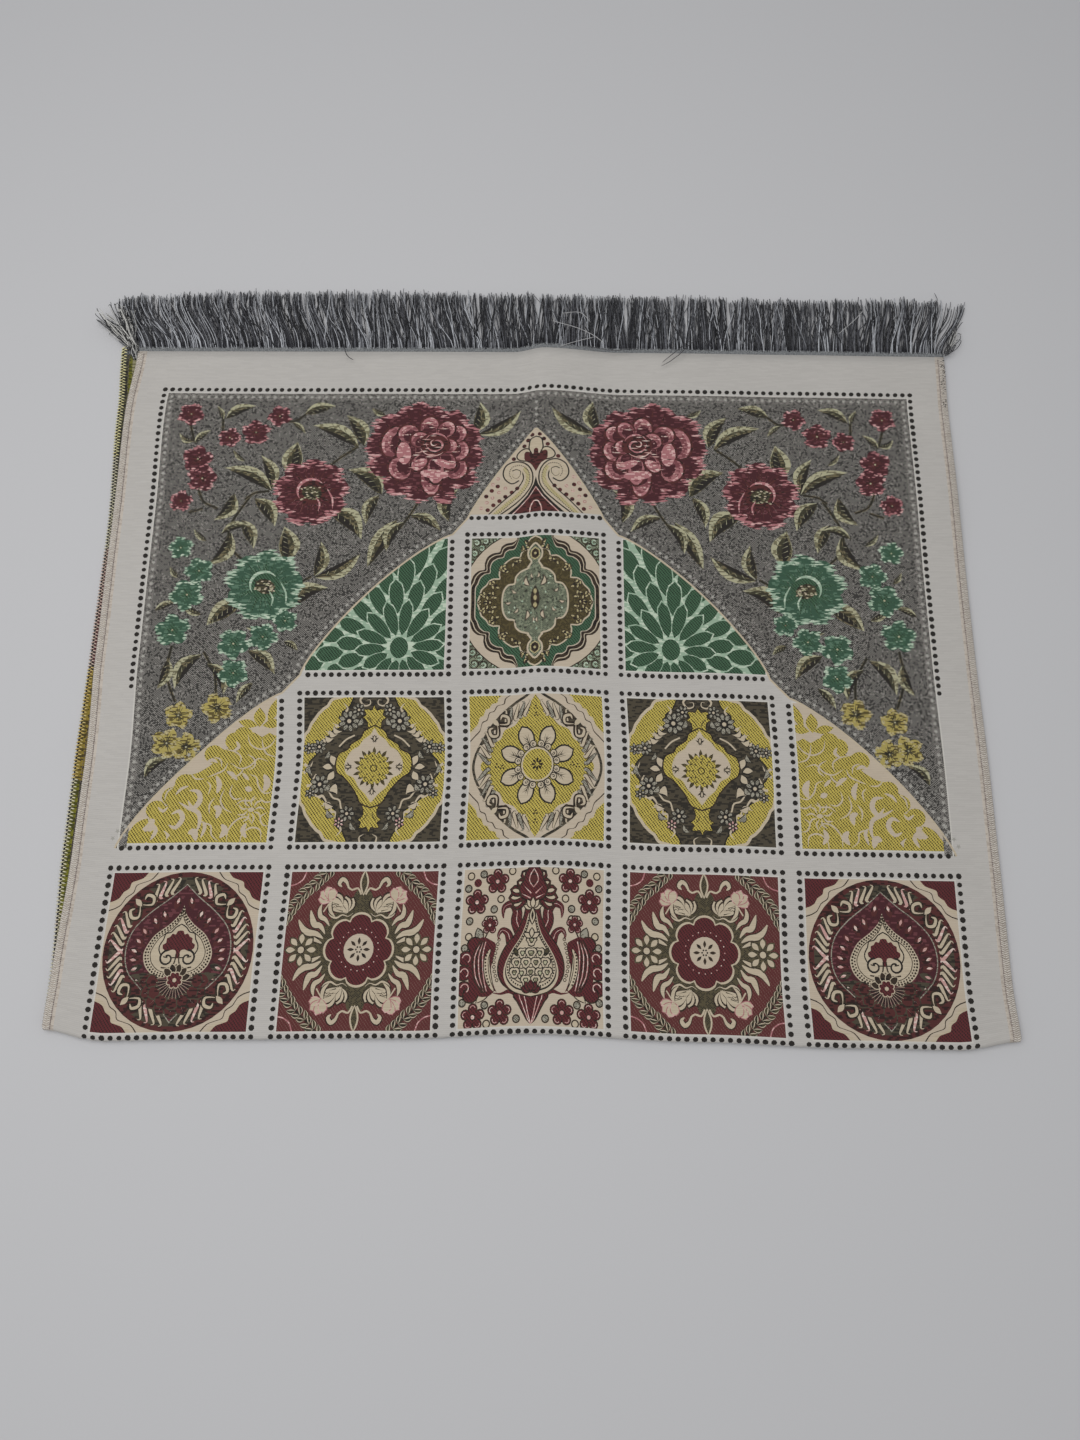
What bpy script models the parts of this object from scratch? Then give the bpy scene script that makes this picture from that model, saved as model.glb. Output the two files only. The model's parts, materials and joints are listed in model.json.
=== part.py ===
"""A flat-woven prayer rug, folded once across its length and lying on its under layer.

The cloth is one sheet: the under layer, the fold at the near edge and the upper layer.
A woven strip with its fringe stands at each of the two ends, 0.3 mm from the cloth.
Metres, +X across the rug, +Y from the fold to the fringe, +Z up.
"""
import math
import random

import bmesh
import bpy
from mathutils import Vector

# Driving dimensions of the cloth
RUG_WIDTH = 0.700
FOLDED_LENGTH = 0.579
CLOTH_THICKNESS = 0.0015
LAYER_GAP = 0.0012
PIECE_GAP = 0.0003

# The fold: a soft bend that settles to the level of the flat layers
FOLD_HEIGHT = 0.0064
FOLD_SETTLE = 0.055
CORNER_ROUNDING_REACH = 0.045

# An old lengthwise crease lifts the upper layer near its middle, steeper on its left
CREASE_ACROSS = 0.006
CREASE_REACH_LEFT = 0.026
CREASE_REACH_RIGHT = 0.066
CREASE_HEIGHT_AT_FOLD = 0.0035
CREASE_HEIGHT_AT_END = 0.0068

# Steps of the cloth's grid
COLUMNS = 28
COLUMN_CROWDING = 0.45
UNDER_ROWS = 4
FOLD_ROWS = 6
UPPER_ROWS = 26

# The woven strips and their fringes
STRIP_DEPTH = 0.005
STRIP_THICKNESS = 0.0013
STRAND_THICKNESS = 0.0011
STRAND_LENGTH = 0.060
STRAND_FILL = 0.80
STRAND_TAPER = 0.86
UPPER_STRANDS = 130
UNDER_STRANDS = 96
UPPER_STRAND_STEPS = 3
UNDER_STRAND_STEPS = 2
UNDER_END_SETBACK = 0.0015
UNDER_FRINGE_EXTRA = 0.002
LAYERED_STRAND_GAP = 0.0004
SPACING_JITTER = 0.10
SHORTEST_STRAND = 0.95
LONGEST_STRAND = 1.03
FRINGE_SEED = 11

# Where the long edges lie, as a shift from a straight rug, in millimetres
EDGE_COLUMNS = ("along", "upper_left", "upper_right", "under_left", "under_right")
EDGE_ROWS = (
    (0.000, -1.0, 0.0, -1.0, 0.0),
    (0.040, -0.5, -1.0, -0.5, -1.5),
    (0.140, 2.8, 0.0, -4.0, -3.0),
    (0.206, 5.0, 0.5, -4.2, -4.5),
    (0.290, 0.3, -0.2, -3.4, -5.5),
    (0.400, -0.8, 0.2, -3.2, -7.0),
    (0.520, -2.4, 1.3, -8.2, -8.5),
    (0.579, 1.6, 3.0, -11.5, -10.0),
)

# How far the fold and the upper woven end stand from a straight line, in millimetres
END_COLUMNS = ("across", "fold_setback", "end_shift")
END_ROWS = (
    (-0.350, 4.0, 0.0),
    (-0.320, 1.6, 0.0),
    (-0.237, 3.2, 0.3),
    (-0.095, 4.8, 0.8),
    (0.002, 9.0, 1.0),
    (0.120, 4.0, 0.4),
    (0.228, 0.6, -0.8),
    (0.318, -0.2, -1.8),
    (0.350, 0.8, -2.2),
)
CORNER_SETBACK = 0.0055

# Soft swells of the upper layer: centre, reach each way and height, in metres
SWELL_COLUMNS = ("across", "along", "reach_across", "reach_along", "height")
SWELLS = (
    (0.000, 0.289, 0.330, 0.030, 0.0022),
    (-0.330, 0.205, 0.080, 0.070, 0.0045),
    (-0.315, 0.500, 0.060, 0.060, 0.0022),
    (0.330, 0.440, 0.060, 0.080, 0.0026),
    (0.210, 0.120, 0.110, 0.060, 0.0012),
    (-0.150, 0.420, 0.120, 0.080, 0.0013),
)

# How far a strand's tip leans sideways from its root, in metres, and its share of the length
LEAN_COLUMNS = ("across", "upper_lean", "under_lean", "length_share")
LEAN_ROWS = (
    (-0.350, -0.028, -0.012, 0.98),
    (-0.250, -0.020, -0.009, 1.04),
    (-0.100, -0.010, -0.004, 1.02),
    (0.060, 0.000, 0.000, 0.95),
    (0.250, 0.003, 0.006, 0.92),
    (0.320, 0.011, 0.018, 0.97),
    (0.350, 0.021, 0.028, 0.98),
)
LEAN_CURVE = 1.2
DROP_HASTE = 1.6
WAVE_DEPTH = 0.0011
WAVE_LENGTH = 0.12

# Colours and finish
CREAM_CLOTH = (0.46, 0.43, 0.39, 1.0)
GREY_YARN = (0.13, 0.13, 0.15, 1.0)
CLOTH_ROUGHNESS = 0.9
MM = 0.001


def read_table(rows, column, at):
    """Value of a column at a place given in the first column, eased between the rows."""
    if at <= rows[0][0]:
        return rows[0][column]
    for low, high in zip(rows, rows[1:]):
        if at <= high[0]:
            step = ease((at - low[0]) / (high[0] - low[0]))
            return low[column] + (high[column] - low[column]) * step
    return rows[-1][column]


def ease(step):
    """Smooth step from 0 to 1."""
    step = min(max(step, 0.0), 1.0)
    return step * step * (3.0 - 2.0 * step)


def bump(distance, reach):
    """Soft bump: 1 at the middle and 0 from its reach outwards."""
    return 1.0 - ease(abs(distance) / reach)


def edge_shift(along, column_name):
    """Sideways shift of a long edge, in metres."""
    column = EDGE_COLUMNS.index(column_name)
    return read_table(EDGE_ROWS, column, along) * MM


def end_shift(across, column_name):
    """Lengthwise shift of the fold or of the woven end, in metres."""
    column = END_COLUMNS.index(column_name)
    return read_table(END_ROWS, column, across) * MM


def place_across(share, along, layer):
    """X of a point that lies a share (0 to 1) of the way from the left to the right edge."""
    left = -RUG_WIDTH / 2 + edge_shift(along, layer + "_left")
    right = RUG_WIDTH / 2 + edge_shift(along, layer + "_right")
    return left + (right - left) * share


def place_along(across, along):
    """Y of a point, with the waviness of the fold and of the woven end."""
    share = min(along / FOLDED_LENGTH, 1.0)
    from_side = RUG_WIDTH / 2 - abs(across)
    corner = CORNER_SETBACK * bump(from_side, CORNER_ROUNDING_REACH)
    fold = end_shift(across, "fold_setback") * (1.0 - share)
    end = end_shift(across, "end_shift") * share
    return along + fold + end + corner * bump(along, CORNER_ROUNDING_REACH)


def upper_height(across, along):
    """Height of the rug's face above the floor, past the fold."""
    level = 2 * CLOTH_THICKNESS + LAYER_GAP
    fold = (FOLD_HEIGHT - level) * bump(along, FOLD_SETTLE)
    offset = across - CREASE_ACROSS
    reach = CREASE_REACH_LEFT if offset < 0 else CREASE_REACH_RIGHT
    share = min(along / FOLDED_LENGTH, 1.0)
    crest = CREASE_HEIGHT_AT_FOLD + (CREASE_HEIGHT_AT_END - CREASE_HEIGHT_AT_FOLD) * share
    crease = crest * bump(offset, reach) * ease(along / FOLD_SETTLE)
    swell = sum(swell_height(dict(zip(SWELL_COLUMNS, row)), across, along) for row in SWELLS)
    return level + fold + crease + swell * ease(along / FOLD_SETTLE)


def swell_height(swell, across, along):
    """Height that one soft swell adds at a point."""
    sideways = bump(across - swell["across"], swell["reach_across"])
    lengthways = bump(along - swell["along"], swell["reach_along"])
    return swell["height"] * sideways * lengthways


def cloth_point(share, run):
    """Point of the outer surface: run is the way along the rug from the fold's middle."""
    radius = FOLD_HEIGHT / 2
    arc = radius * math.pi / 2
    layer = "upper" if run > 0 else "under"
    if abs(run) < arc:
        angle = run / radius
        along = radius * (1.0 - math.cos(angle))
        height = radius + radius * math.sin(angle)
    else:
        along = radius + abs(run) - arc
        height = 0.0
    across = place_across(share, along, layer)
    if run >= arc:
        height = upper_height(across, along)
    return Vector((across, place_along(across, along), height))


def row_run(row):
    """Way along the rug of a row of the cloth's grid, from the under end to the upper end."""
    radius = FOLD_HEIGHT / 2
    arc = radius * math.pi / 2
    flat = FOLDED_LENGTH - radius
    if row <= UNDER_ROWS:
        share = row / UNDER_ROWS
        return -(arc + (flat - UNDER_END_SETBACK) * (1.0 - share))
    if row <= UNDER_ROWS + FOLD_ROWS:
        return arc * (2.0 * (row - UNDER_ROWS) / FOLD_ROWS - 1.0)
    return arc + flat * (row - UNDER_ROWS - FOLD_ROWS) / UPPER_ROWS


def column_share(column):
    """Share of the width at a column of the grid, with the columns closer at the crease."""
    share = column / COLUMNS
    return share + COLUMN_CROWDING * math.sin(2 * math.pi * share) / (2 * math.pi)


def make_material(name, colour, roughness):
    """Principled material of one sub-part."""
    material = bpy.data.materials.new(name)
    material.use_nodes = True
    shader = material.node_tree.nodes["Principled BSDF"]
    shader.inputs["Base Color"].default_value = colour
    shader.inputs["Roughness"].default_value = roughness
    material.diffuse_color = colour
    return material


def add_object(name, mesh_builder, material, collection):
    """Object in the rug's collection, from a filled bmesh."""
    mesh = bpy.data.meshes.new(name)
    mesh_builder.to_mesh(mesh)
    mesh_builder.free()
    mesh.materials.append(material)
    piece = bpy.data.objects.new(name, mesh)
    collection.objects.link(piece)
    return piece


def make_cloth(collection, material):
    """The folded sheet: a grid laid over the folded form, with its thickness inwards."""
    rows = UNDER_ROWS + FOLD_ROWS + UPPER_ROWS
    sheet = bmesh.new()
    bmesh.ops.create_grid(sheet, x_segments=COLUMNS, y_segments=rows, size=0.5)
    for vertex in sheet.verts:
        column = round((vertex.co.x + 0.5) * COLUMNS)
        row = round((vertex.co.y + 0.5) * rows)
        vertex.co = cloth_point(column_share(column), row_run(row))
    piece = add_object("cloth", sheet, material, collection)
    thickness = piece.modifiers.new("thickness", "SOLIDIFY")
    thickness.thickness = CLOTH_THICKNESS
    thickness.offset = -1.0
    thickness.use_even_offset = True
    piece.data.shade_smooth()
    return piece


def make_bar(cells):
    """Bar from x 0 to 1, one unit deep and high, cut into cells along its length."""
    bar = bmesh.new()
    bmesh.ops.create_cube(bar, size=1.0)
    bmesh.ops.translate(bar, verts=bar.verts, vec=(0.5, 0.5, 0.5))
    long_edges = [edge for edge in bar.edges if abs(edge.verts[0].co.x - edge.verts[1].co.x) > 0.5]
    bmesh.ops.subdivide_edges(bar, edges=long_edges, cuts=cells - 1, use_grid_fill=True)
    return bar


def strand_shares(count):
    """Shares of the width where the strands' two sides stand on the strip, in order."""
    spread = random.Random(FRINGE_SEED + count)
    shares = [0.0]
    for strand in range(count):
        middle = (strand + 0.5 + SPACING_JITTER * spread.uniform(-0.5, 0.5)) / count
        shares.append(middle - 0.5 * STRAND_FILL / count)
        shares.append(middle + 0.5 * STRAND_FILL / count)
    shares.append(1.0)
    return shares


def strip_point(share, depth, height, layer):
    """Point of a woven strip: depth and height run from 0 to 1 through its section."""
    across = place_across(share, FOLDED_LENGTH, layer)
    near = FOLDED_LENGTH + PIECE_GAP
    top = upper_height(across, FOLDED_LENGTH)
    if layer == "under":
        near -= UNDER_END_SETBACK
        top = STRIP_THICKNESS
    along = place_along(across, near) + depth * STRIP_DEPTH
    return Vector((across, along, top - (1.0 - height) * STRIP_THICKNESS))


def strand_path(root, length, layer, step):
    """Middle of a strand at a step from 0, at its root, to 1, where its tip rests."""
    length *= read_table(LEAN_ROWS, LEAN_COLUMNS.index("length_share"), root.x)
    lean = read_table(LEAN_ROWS, LEAN_COLUMNS.index(layer + "_lean"), root.x)
    lean *= length / STRAND_LENGTH
    wave = WAVE_DEPTH * step * math.sin(2 * math.pi * (step * STRAND_LENGTH + root.x) / WAVE_LENGTH)
    reach = math.sqrt(length ** 2 - lean ** 2)
    rest = STRAND_THICKNESS / 2
    if layer == "upper":
        rest += STRAND_THICKNESS + LAYERED_STRAND_GAP
    drop = (root.z - rest) * ease(step * DROP_HASTE)
    return root + Vector((lean * step ** LEAN_CURVE + wave, reach * step, -drop))


def draw_strand(bar, face, length, layer, steps):
    """Draw one face of the strip out into a strand with a square section."""
    root = face.calc_center_median()
    sides = sorted(vertex.co.x for vertex in face.verts)
    root_width = sides[-1] - sides[0]
    for step in (number / steps for number in range(1, steps + 1)):
        face = bmesh.ops.extrude_discrete_faces(bar, faces=[face])["faces"][0]
        middle = strand_path(root, length, layer, step)
        width = root_width * (1.0 + (STRAND_TAPER - 1.0) * step)
        corners = sorted(face.verts, key=lambda vertex: vertex.co.x)
        for side, pair in ((-1.0, corners[:2]), (1.0, corners[2:])):
            low, high = sorted(pair, key=lambda vertex: vertex.co.z)
            low.co = middle + Vector((side * width, 0.0, -STRAND_THICKNESS)) / 2
            high.co = middle + Vector((side * width, 0.0, STRAND_THICKNESS)) / 2


def make_fringe(name, layer, count, steps, collection, material):
    """Woven strip with its strands, each drawn out of its own cell of the strip's far side."""
    cells = 2 * count + 1
    bar = make_bar(cells)
    far_faces = [face for face in bar.faces if face.normal.y > 0.5]
    far_faces.sort(key=lambda face: face.calc_center_median().x)
    shares = strand_shares(count)
    for vertex in bar.verts:
        share = shares[round(vertex.co.x * cells)]
        vertex.co = strip_point(share, vertex.co.y, vertex.co.z, layer)
    spread = random.Random(FRINGE_SEED)
    for face in far_faces[1::2]:
        length = STRAND_LENGTH + UNDER_FRINGE_EXTRA
        if layer == "upper":
            length = STRAND_LENGTH * spread.uniform(SHORTEST_STRAND, LONGEST_STRAND)
        draw_strand(bar, face, length, layer, steps)
    return add_object(name, bar, material, collection)


def centre_on_floor(pieces):
    """Move the meshes so that the middle of the box's underside is the origin."""
    bpy.context.view_layer.update()
    corners = [Vector(corner) for piece in pieces for corner in piece.bound_box]
    low = Vector([min(corner[axis] for corner in corners) for axis in range(3)])
    high = Vector([max(corner[axis] for corner in corners) for axis in range(3)])
    shift = Vector((-(low.x + high.x) / 2, -(low.y + high.y) / 2, -low.z))
    for piece in pieces:
        piece.location = shift


def main():
    for old in list(bpy.data.objects):
        bpy.data.objects.remove(old, do_unlink=True)
    collection = bpy.data.collections.new("prayer_rug")
    bpy.context.scene.collection.children.link(collection)
    cloth_material = make_material("woven_cloth", CREAM_CLOTH, CLOTH_ROUGHNESS)
    yarn_material = make_material("fringe_yarn", GREY_YARN, CLOTH_ROUGHNESS)
    pieces = [
        make_cloth(collection, cloth_material),
        make_fringe("fringe_upper", "upper", UPPER_STRANDS, UPPER_STRAND_STEPS, collection, yarn_material),
        make_fringe("fringe_under", "under", UNDER_STRANDS, UNDER_STRAND_STEPS, collection, yarn_material),
    ]
    centre_on_floor(pieces)


main()
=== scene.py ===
"""Prayer rug folded once across its length: a visual model round the CAD frame.

The woven face is a stack of flat outlines, drawn in millimetres and cut into one
mesh, which is then laid over the folded cloth. Metres, +X across the rug, +Y from the fold
to the fringe, +Z up.
"""

import json
import math
import random

import bmesh
import bpy
import numpy
from mathutils import Matrix, Vector
from mathutils.geometry import delaunay_2d_cdt

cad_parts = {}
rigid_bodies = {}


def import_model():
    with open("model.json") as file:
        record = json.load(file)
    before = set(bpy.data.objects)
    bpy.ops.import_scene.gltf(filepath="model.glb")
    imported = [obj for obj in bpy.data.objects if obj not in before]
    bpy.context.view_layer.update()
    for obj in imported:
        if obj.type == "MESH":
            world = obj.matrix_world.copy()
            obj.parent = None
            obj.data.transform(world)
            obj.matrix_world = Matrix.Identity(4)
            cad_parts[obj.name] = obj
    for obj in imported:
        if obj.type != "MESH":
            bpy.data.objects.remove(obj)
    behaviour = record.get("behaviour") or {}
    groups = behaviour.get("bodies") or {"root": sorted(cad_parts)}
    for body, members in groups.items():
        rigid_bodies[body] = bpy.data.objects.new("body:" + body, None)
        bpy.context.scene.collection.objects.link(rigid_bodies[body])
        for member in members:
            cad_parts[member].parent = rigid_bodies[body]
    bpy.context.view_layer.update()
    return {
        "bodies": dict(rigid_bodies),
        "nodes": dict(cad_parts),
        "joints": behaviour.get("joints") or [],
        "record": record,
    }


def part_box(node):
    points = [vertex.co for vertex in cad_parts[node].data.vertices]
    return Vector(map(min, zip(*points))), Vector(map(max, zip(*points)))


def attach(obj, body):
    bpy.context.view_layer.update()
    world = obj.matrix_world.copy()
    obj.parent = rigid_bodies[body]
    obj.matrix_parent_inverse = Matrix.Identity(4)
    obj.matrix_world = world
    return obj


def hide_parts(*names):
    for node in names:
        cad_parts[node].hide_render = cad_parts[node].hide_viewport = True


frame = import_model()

bl_info = {
    "name": "Folded prayer rug",
    "version": (1, 0, 0),
    "blender": (4, 5, 0),
    "location": "3D View > Sidebar > Rug",
    "description": "Builds a flat-woven prayer rug, folded in half, with its edges and fringes",
    "category": "Object",
}

# Form of the folded cloth, in metres, as in the part's source
RUG_WIDTH = 0.700
FOLDED_LENGTH = 0.579
CLOTH_THICKNESS = 0.0015
LAYER_GAP = 0.0012
PIECE_GAP = 0.0003
FOLD_HEIGHT = 0.0064
FOLD_SETTLE = 0.055
FOLD_RADIUS = FOLD_HEIGHT / 2
FOLD_ARC = FOLD_RADIUS * math.pi / 2
CORNER_ROUNDING_REACH = 0.045
CORNER_SETBACK = 0.0055
CREASE_ACROSS = 0.006
CREASE_REACH_LEFT = 0.026
CREASE_REACH_RIGHT = 0.066
CREASE_HEIGHT_AT_FOLD = 0.0035
CREASE_HEIGHT_AT_END = 0.0068
STRIP_DEPTH = 0.005
STRIP_THICKNESS = 0.0013
STRAND_THICKNESS = 0.0011
STRAND_LENGTH = 0.060
UNDER_END_SETBACK = 0.0015
LAYERED_STRAND_GAP = 0.0004
DROP_HASTE = 1.6
MM = 0.001

# Where the long edges lie, as a shift from a straight rug, in millimetres
EDGE_COLUMNS = ("along", "upper_left", "upper_right", "under_left", "under_right")
EDGE_ROWS = (
    (0.000, -1.0, 0.0, -1.0, 0.0),
    (0.040, -0.5, -1.0, -0.5, -1.5),
    (0.140, 2.8, 0.0, -4.0, -3.0),
    (0.206, 5.0, 0.5, -4.2, -4.5),
    (0.290, 0.3, -0.2, -3.4, -5.5),
    (0.400, -0.8, 0.2, -3.2, -7.0),
    (0.520, -2.4, 1.3, -8.2, -8.5),
    (0.579, 1.6, 3.0, -11.5, -10.0),
)

# How far the fold and the upper woven end stand from a straight line, in millimetres
END_COLUMNS = ("across", "fold_setback", "end_shift")
END_ROWS = (
    (-0.350, 4.0, 0.0),
    (-0.320, 1.6, 0.0),
    (-0.237, 3.2, 0.3),
    (-0.095, 4.8, 0.8),
    (0.002, 9.0, 1.0),
    (0.120, 4.0, 0.4),
    (0.228, 0.6, -0.8),
    (0.318, -0.2, -1.8),
    (0.350, 0.8, -2.2),
)

# Soft swells of the upper layer: centre, reach each way and height, in metres
SWELLS = (
    (0.000, 0.289, 0.330, 0.030, 0.0022),
    (-0.330, 0.205, 0.080, 0.070, 0.0045),
    (-0.315, 0.500, 0.060, 0.060, 0.0022),
    (0.330, 0.440, 0.060, 0.080, 0.0026),
    (0.210, 0.120, 0.110, 0.060, 0.0012),
    (-0.150, 0.420, 0.120, 0.080, 0.0013),
)

# How far a strand's tip leans sideways from its root, in metres, and its share of the length
LEAN_COLUMNS = ("across", "upper_lean", "under_lean", "length_share")
LEAN_ROWS = (
    (-0.350, -0.028, -0.012, 0.98),
    (-0.250, -0.020, -0.009, 1.04),
    (-0.100, -0.010, -0.004, 1.02),
    (0.060, 0.000, 0.000, 0.95),
    (0.250, 0.003, 0.006, 0.92),
    (0.320, 0.011, 0.018, 0.97),
    (0.350, 0.021, 0.028, 0.98),
)

# The sheet laid flat, in millimetres: half its width and its two ends from the fold
HALF_WIDTH = 350.0
UPPER_END = (FOLD_ARC + FOLDED_LENGTH - FOLD_RADIUS) / MM
UNDER_END = -(UPPER_END - UNDER_END_SETBACK / MM)
SERGED_MARGIN = 8.0



# The woven design is a stack of flat outlines in millimetres, drawn as complex numbers:
# the real part runs across the rug and the imaginary part along it, from the fold.

# Finish: ground yarn and second yarn (screen colours), share of the second, and weave
FINISHES = {row.split()[0]: row.split()[1:] for row in """
ground 187,183,177 168,163,158 0.22 plain
pale 200,196,188 184,180,172 0.2 plain
beige 190,176,156 172,156,136 0.2 plain
bone 195,181,157 144,128,106 0.24 plain
sand 180,168,126 130,116,80 0.25 twill
black 34,31,28 56,50,44 0.2 plain
umber 56,45,35 34,28,24 0.3 dash
wine 82,43,41 50,30,28 0.32 dash
garnet 92,41,43 50,30,30 0.33 twill
crimson 90,44,43 114,82,74 0.22 twill
rose 166,110,112 206,164,160 0.32 dash
blush 192,150,143 214,192,180 0.35 dash
petal 118,68,72 160,108,109 0.4 dash
maroon 70,34,38 100,56,60 0.2 dash
mustard 188,170,82 60,52,28 0.34 twill
lemon 166,151,86 92,80,44 0.38 dash
olive 70,64,46 40,38,30 0.35 dash
moss 84,76,56 50,46,38 0.38 grain
bronze 84,74,46 46,40,28 0.4 grain
charcoal 74,67,54 46,42,35 0.38 dash
leaf_light 171,167,137 116,111,86 0.34 dash
leaf_shade 62,59,43 112,102,76 0.28 dash
green 66,97,72 32,42,32 0.38 twill
fern 56,84,66 86,114,94 0.25 dash
mint 148,170,147 186,199,178 0.35 dash
lichen 126,132,110 54,58,46 0.44 grain
melange 58,56,53 130,126,120 0.46 grain
stripe 84,81,77 142,137,131 0.42 grain
star 166,163,155 130,127,120 0.25 plain
grey 150,145,130 94,90,78 0.35 grain
reverse 150,144,112 96,92,60 0.45 dash
serge 192,182,170 176,165,153 0.3 dash
float_olive 112,110,34 66,66,24 0.4 dash
float_black 40,38,32 84,80,56 0.25 dash
float_wine 84,42,46 38,34,34 0.4 dash
float_mustard 134,116,48 72,62,30 0.35 dash
""".strip().splitlines()}


TINY = 1e-9


class Design:
    """Stack of outlines with their finishes; a later one lies over the earlier ones."""

    def __init__(self):
        self.outlines = []

    def lay(self, points, finish):
        self.outlines.append(([(point.real, point.imag) for point in points], finish))


class Pen:
    """Draws outlines into the design, moved, turned, mirrored and repeated."""

    def __init__(self, design, centre=0j, reach=(1.0, 1.0), copies=((1, 0, False),)):
        self.design = design
        self.centre = centre
        self.reach = reach
        self.copies = copies

    def spread(self, changes):
        """Pen that repeats this one under each change: a factor, a shift and a mirror."""
        copies = []
        for factor, shift, mirrored in self.copies:
            for inner_factor, inner_shift, inner_mirrored in changes:
                if mirrored:
                    inner_factor, inner_shift = inner_factor.conjugate(), -inner_shift.conjugate()
                copies.append((factor * inner_factor, factor * inner_shift + shift,
                        mirrored != inner_mirrored))
        return Pen(self.design, self.centre, self.reach, copies)

    def at(self, place, size=1.0, turn=0.0):
        return self.spread([(size * heading(turn), complex(place), False)])

    def mirrored(self):
        return self.spread([(1, 0, False), (1, 0, True)])

    def quartered(self):
        """Pen that draws into all four quarters of a tile."""
        return self.spread([(1, 0, False), (1, 0, True), (-1, 0, False), (-1, 0, True)])

    def fill(self, outline, finish):
        for factor, shift, mirrored in self.copies:
            points = []
            for point in outline:
                point = -point.conjugate() if mirrored else point
                point = factor * point + shift
                points.append(self.centre + complex(point.real * self.reach[0], point.imag * self.reach[1]))
            self.design.lay(points, finish)

    def line(self, points, width, finish, profile=None, closed=False):
        """Ribbon along a line, in one four-sided cell a step; profile shapes its width."""
        count = len(points)
        sides = []
        for step, point in enumerate(points):
            if closed:
                ahead, behind = points[(step + 1) % count], points[step - 1]
            else:
                ahead, behind = points[min(step + 1, count - 1)], points[max(step - 1, 0)]
            share = step / (count - 1)
            half = width / 2 * (profile(share) if profile else 1.0)
            across = 1j * (ahead - behind) / max(abs(ahead - behind), TINY) * max(half, 1e-4)
            sides.append((point + across, point - across))
        if closed:
            sides.append(sides[0])
        for near, far in zip(sides, sides[1:]):
            self.fill([near[0], near[1], far[1], far[0]], finish)

    def cased(self, points, width, finish, edge, more, profile):
        """Line over a wider one, which shows as its edges."""
        self.line(points, width + more, edge, profile)
        self.line(points, width, finish, profile)

    def edged(self, outline, finish, edge, width):
        self.fill(outline, finish)
        self.line(outline, width, edge, closed=True)


def heading(degrees):
    """Unit complex number in a direction, counted from across towards along."""
    return complex(math.cos(math.radians(degrees)), math.sin(math.radians(degrees)))


def pointed(share):
    return math.sin(math.pi * min(max(share, 0.02), 0.98)) ** 0.7


def tapered(share):
    return 1.0 - 0.92 * share


def swelling(share):
    return 0.15 + 0.85 * math.sin(math.pi * share ** 1.6)


def arc(centre, radius, start, stop, count=12):
    return spiral(centre, radius, radius, start, stop - start, count)


def oval(centre, across, along=None, turn=0.0, count=14):
    along = across if along is None else along
    points = []
    for step in range(count):
        point = heading(360.0 * (step + 0.5) / count)
        points.append(centre + complex(point.real * across, point.imag * along) * heading(turn))
    return points


def box(left, low, right, high):
    return [complex(left, low), complex(right, low), complex(right, high), complex(left, high)]


def curve(points, steps=4, closed=False):
    """Smooth line through given points."""
    count = len(points)
    smooth = []
    for number in range(count if closed else count - 1):
        if closed:
            before, start, stop, after = (points[(number + shift) % count] for shift in (-1, 0, 1, 2))
        else:
            before, start = points[max(number - 1, 0)], points[number]
            stop, after = points[number + 1], points[min(number + 2, count - 1)]
        for step in range(steps):
            share = step / steps
            smooth.append(0.5 * (2 * start + (stop - before) * share
                                 + (2 * before - 5 * start + 4 * stop - after) * share ** 2
                                 + (3 * start - before - 3 * stop + after) * share ** 3))
    return smooth if closed else smooth + [points[-1]]


def both_sides(right_side, steps=4):
    """Closed outline from its right side, top to bottom, and the same in mirror image."""
    side = curve(right_side, steps)
    return side + [-point.conjugate() for point in reversed(side) if abs(point.real) > 1e-6]


def leaf(root, tip, width, bend=0.0, belly=1.0, blunt=1.0, steps=6):
    """Pointed leaf from root to tip; bend bows it, belly moves its widest place to the tip."""
    axis = tip - root
    across = 1j * axis / abs(axis)
    left, right = [root], []
    for step in range(1, steps):
        share = step / steps
        middle = root + axis * share + across * bend * abs(axis) * 4 * share * (1 - share)
        half = width / 2 * math.sin(math.pi * share ** belly) ** blunt
        left.append(middle + across * half)
        right.append(middle - across * half)
    return left + [tip] + right[::-1]


def lobes(centre, radius, count, depth=0.2, turn=0.0, steps=5):
    """Closed outline of round lobes with a cusp between each two."""
    points = []
    for step in range(count * steps):
        share = (step / steps) % 1.0
        reach = radius * (1.0 - depth + depth * math.sin(math.pi * share) ** 0.6)
        points.append(centre + reach * heading(turn + 360.0 * step / (count * steps)))
    return points


def spiral(centre, outer, inner, start, sweep, count=14):
    points = []
    for step in range(count):
        share = step / (count - 1)
        points.append(centre + (outer + (inner - outer) * share) * heading(start + sweep * share))
    return points


def places(text, scale=100):
    """Places written as text: a motif's are in hundredths of a tile's half width."""
    return [complex(*map(float, place.split(","))) / scale for place in text.split()]


def table(text):
    """Rows of numbers, places and names: commas part the values and spaces the rows."""
    return [[value_of(word) for word in row.split(",")] for row in text.split()]


def value_of(word):
    """Number, place or name that a word stands for."""
    if word[-1] == "j":
        return complex(word)
    if not word[-1].isdigit():
        return word
    return float(word) if "." in word else int(word)


# Outline that more than covers a tile's field, whose edges lie at 1 and -1
TILE = box(-1.1, -1.1, 1.1, 1.1)


def route(text, steps=4):
    return curve(places(text), steps)


def half(text, steps=4):
    return both_sides(places(text), steps)


def up_and_down(points):
    """Upper half of an outline, followed by its mirror image below."""
    return points + [point.conjugate() for point in points[-2::-1]]


def patch(text, steps=3):
    return curve(places(text), steps, closed=True)


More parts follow.
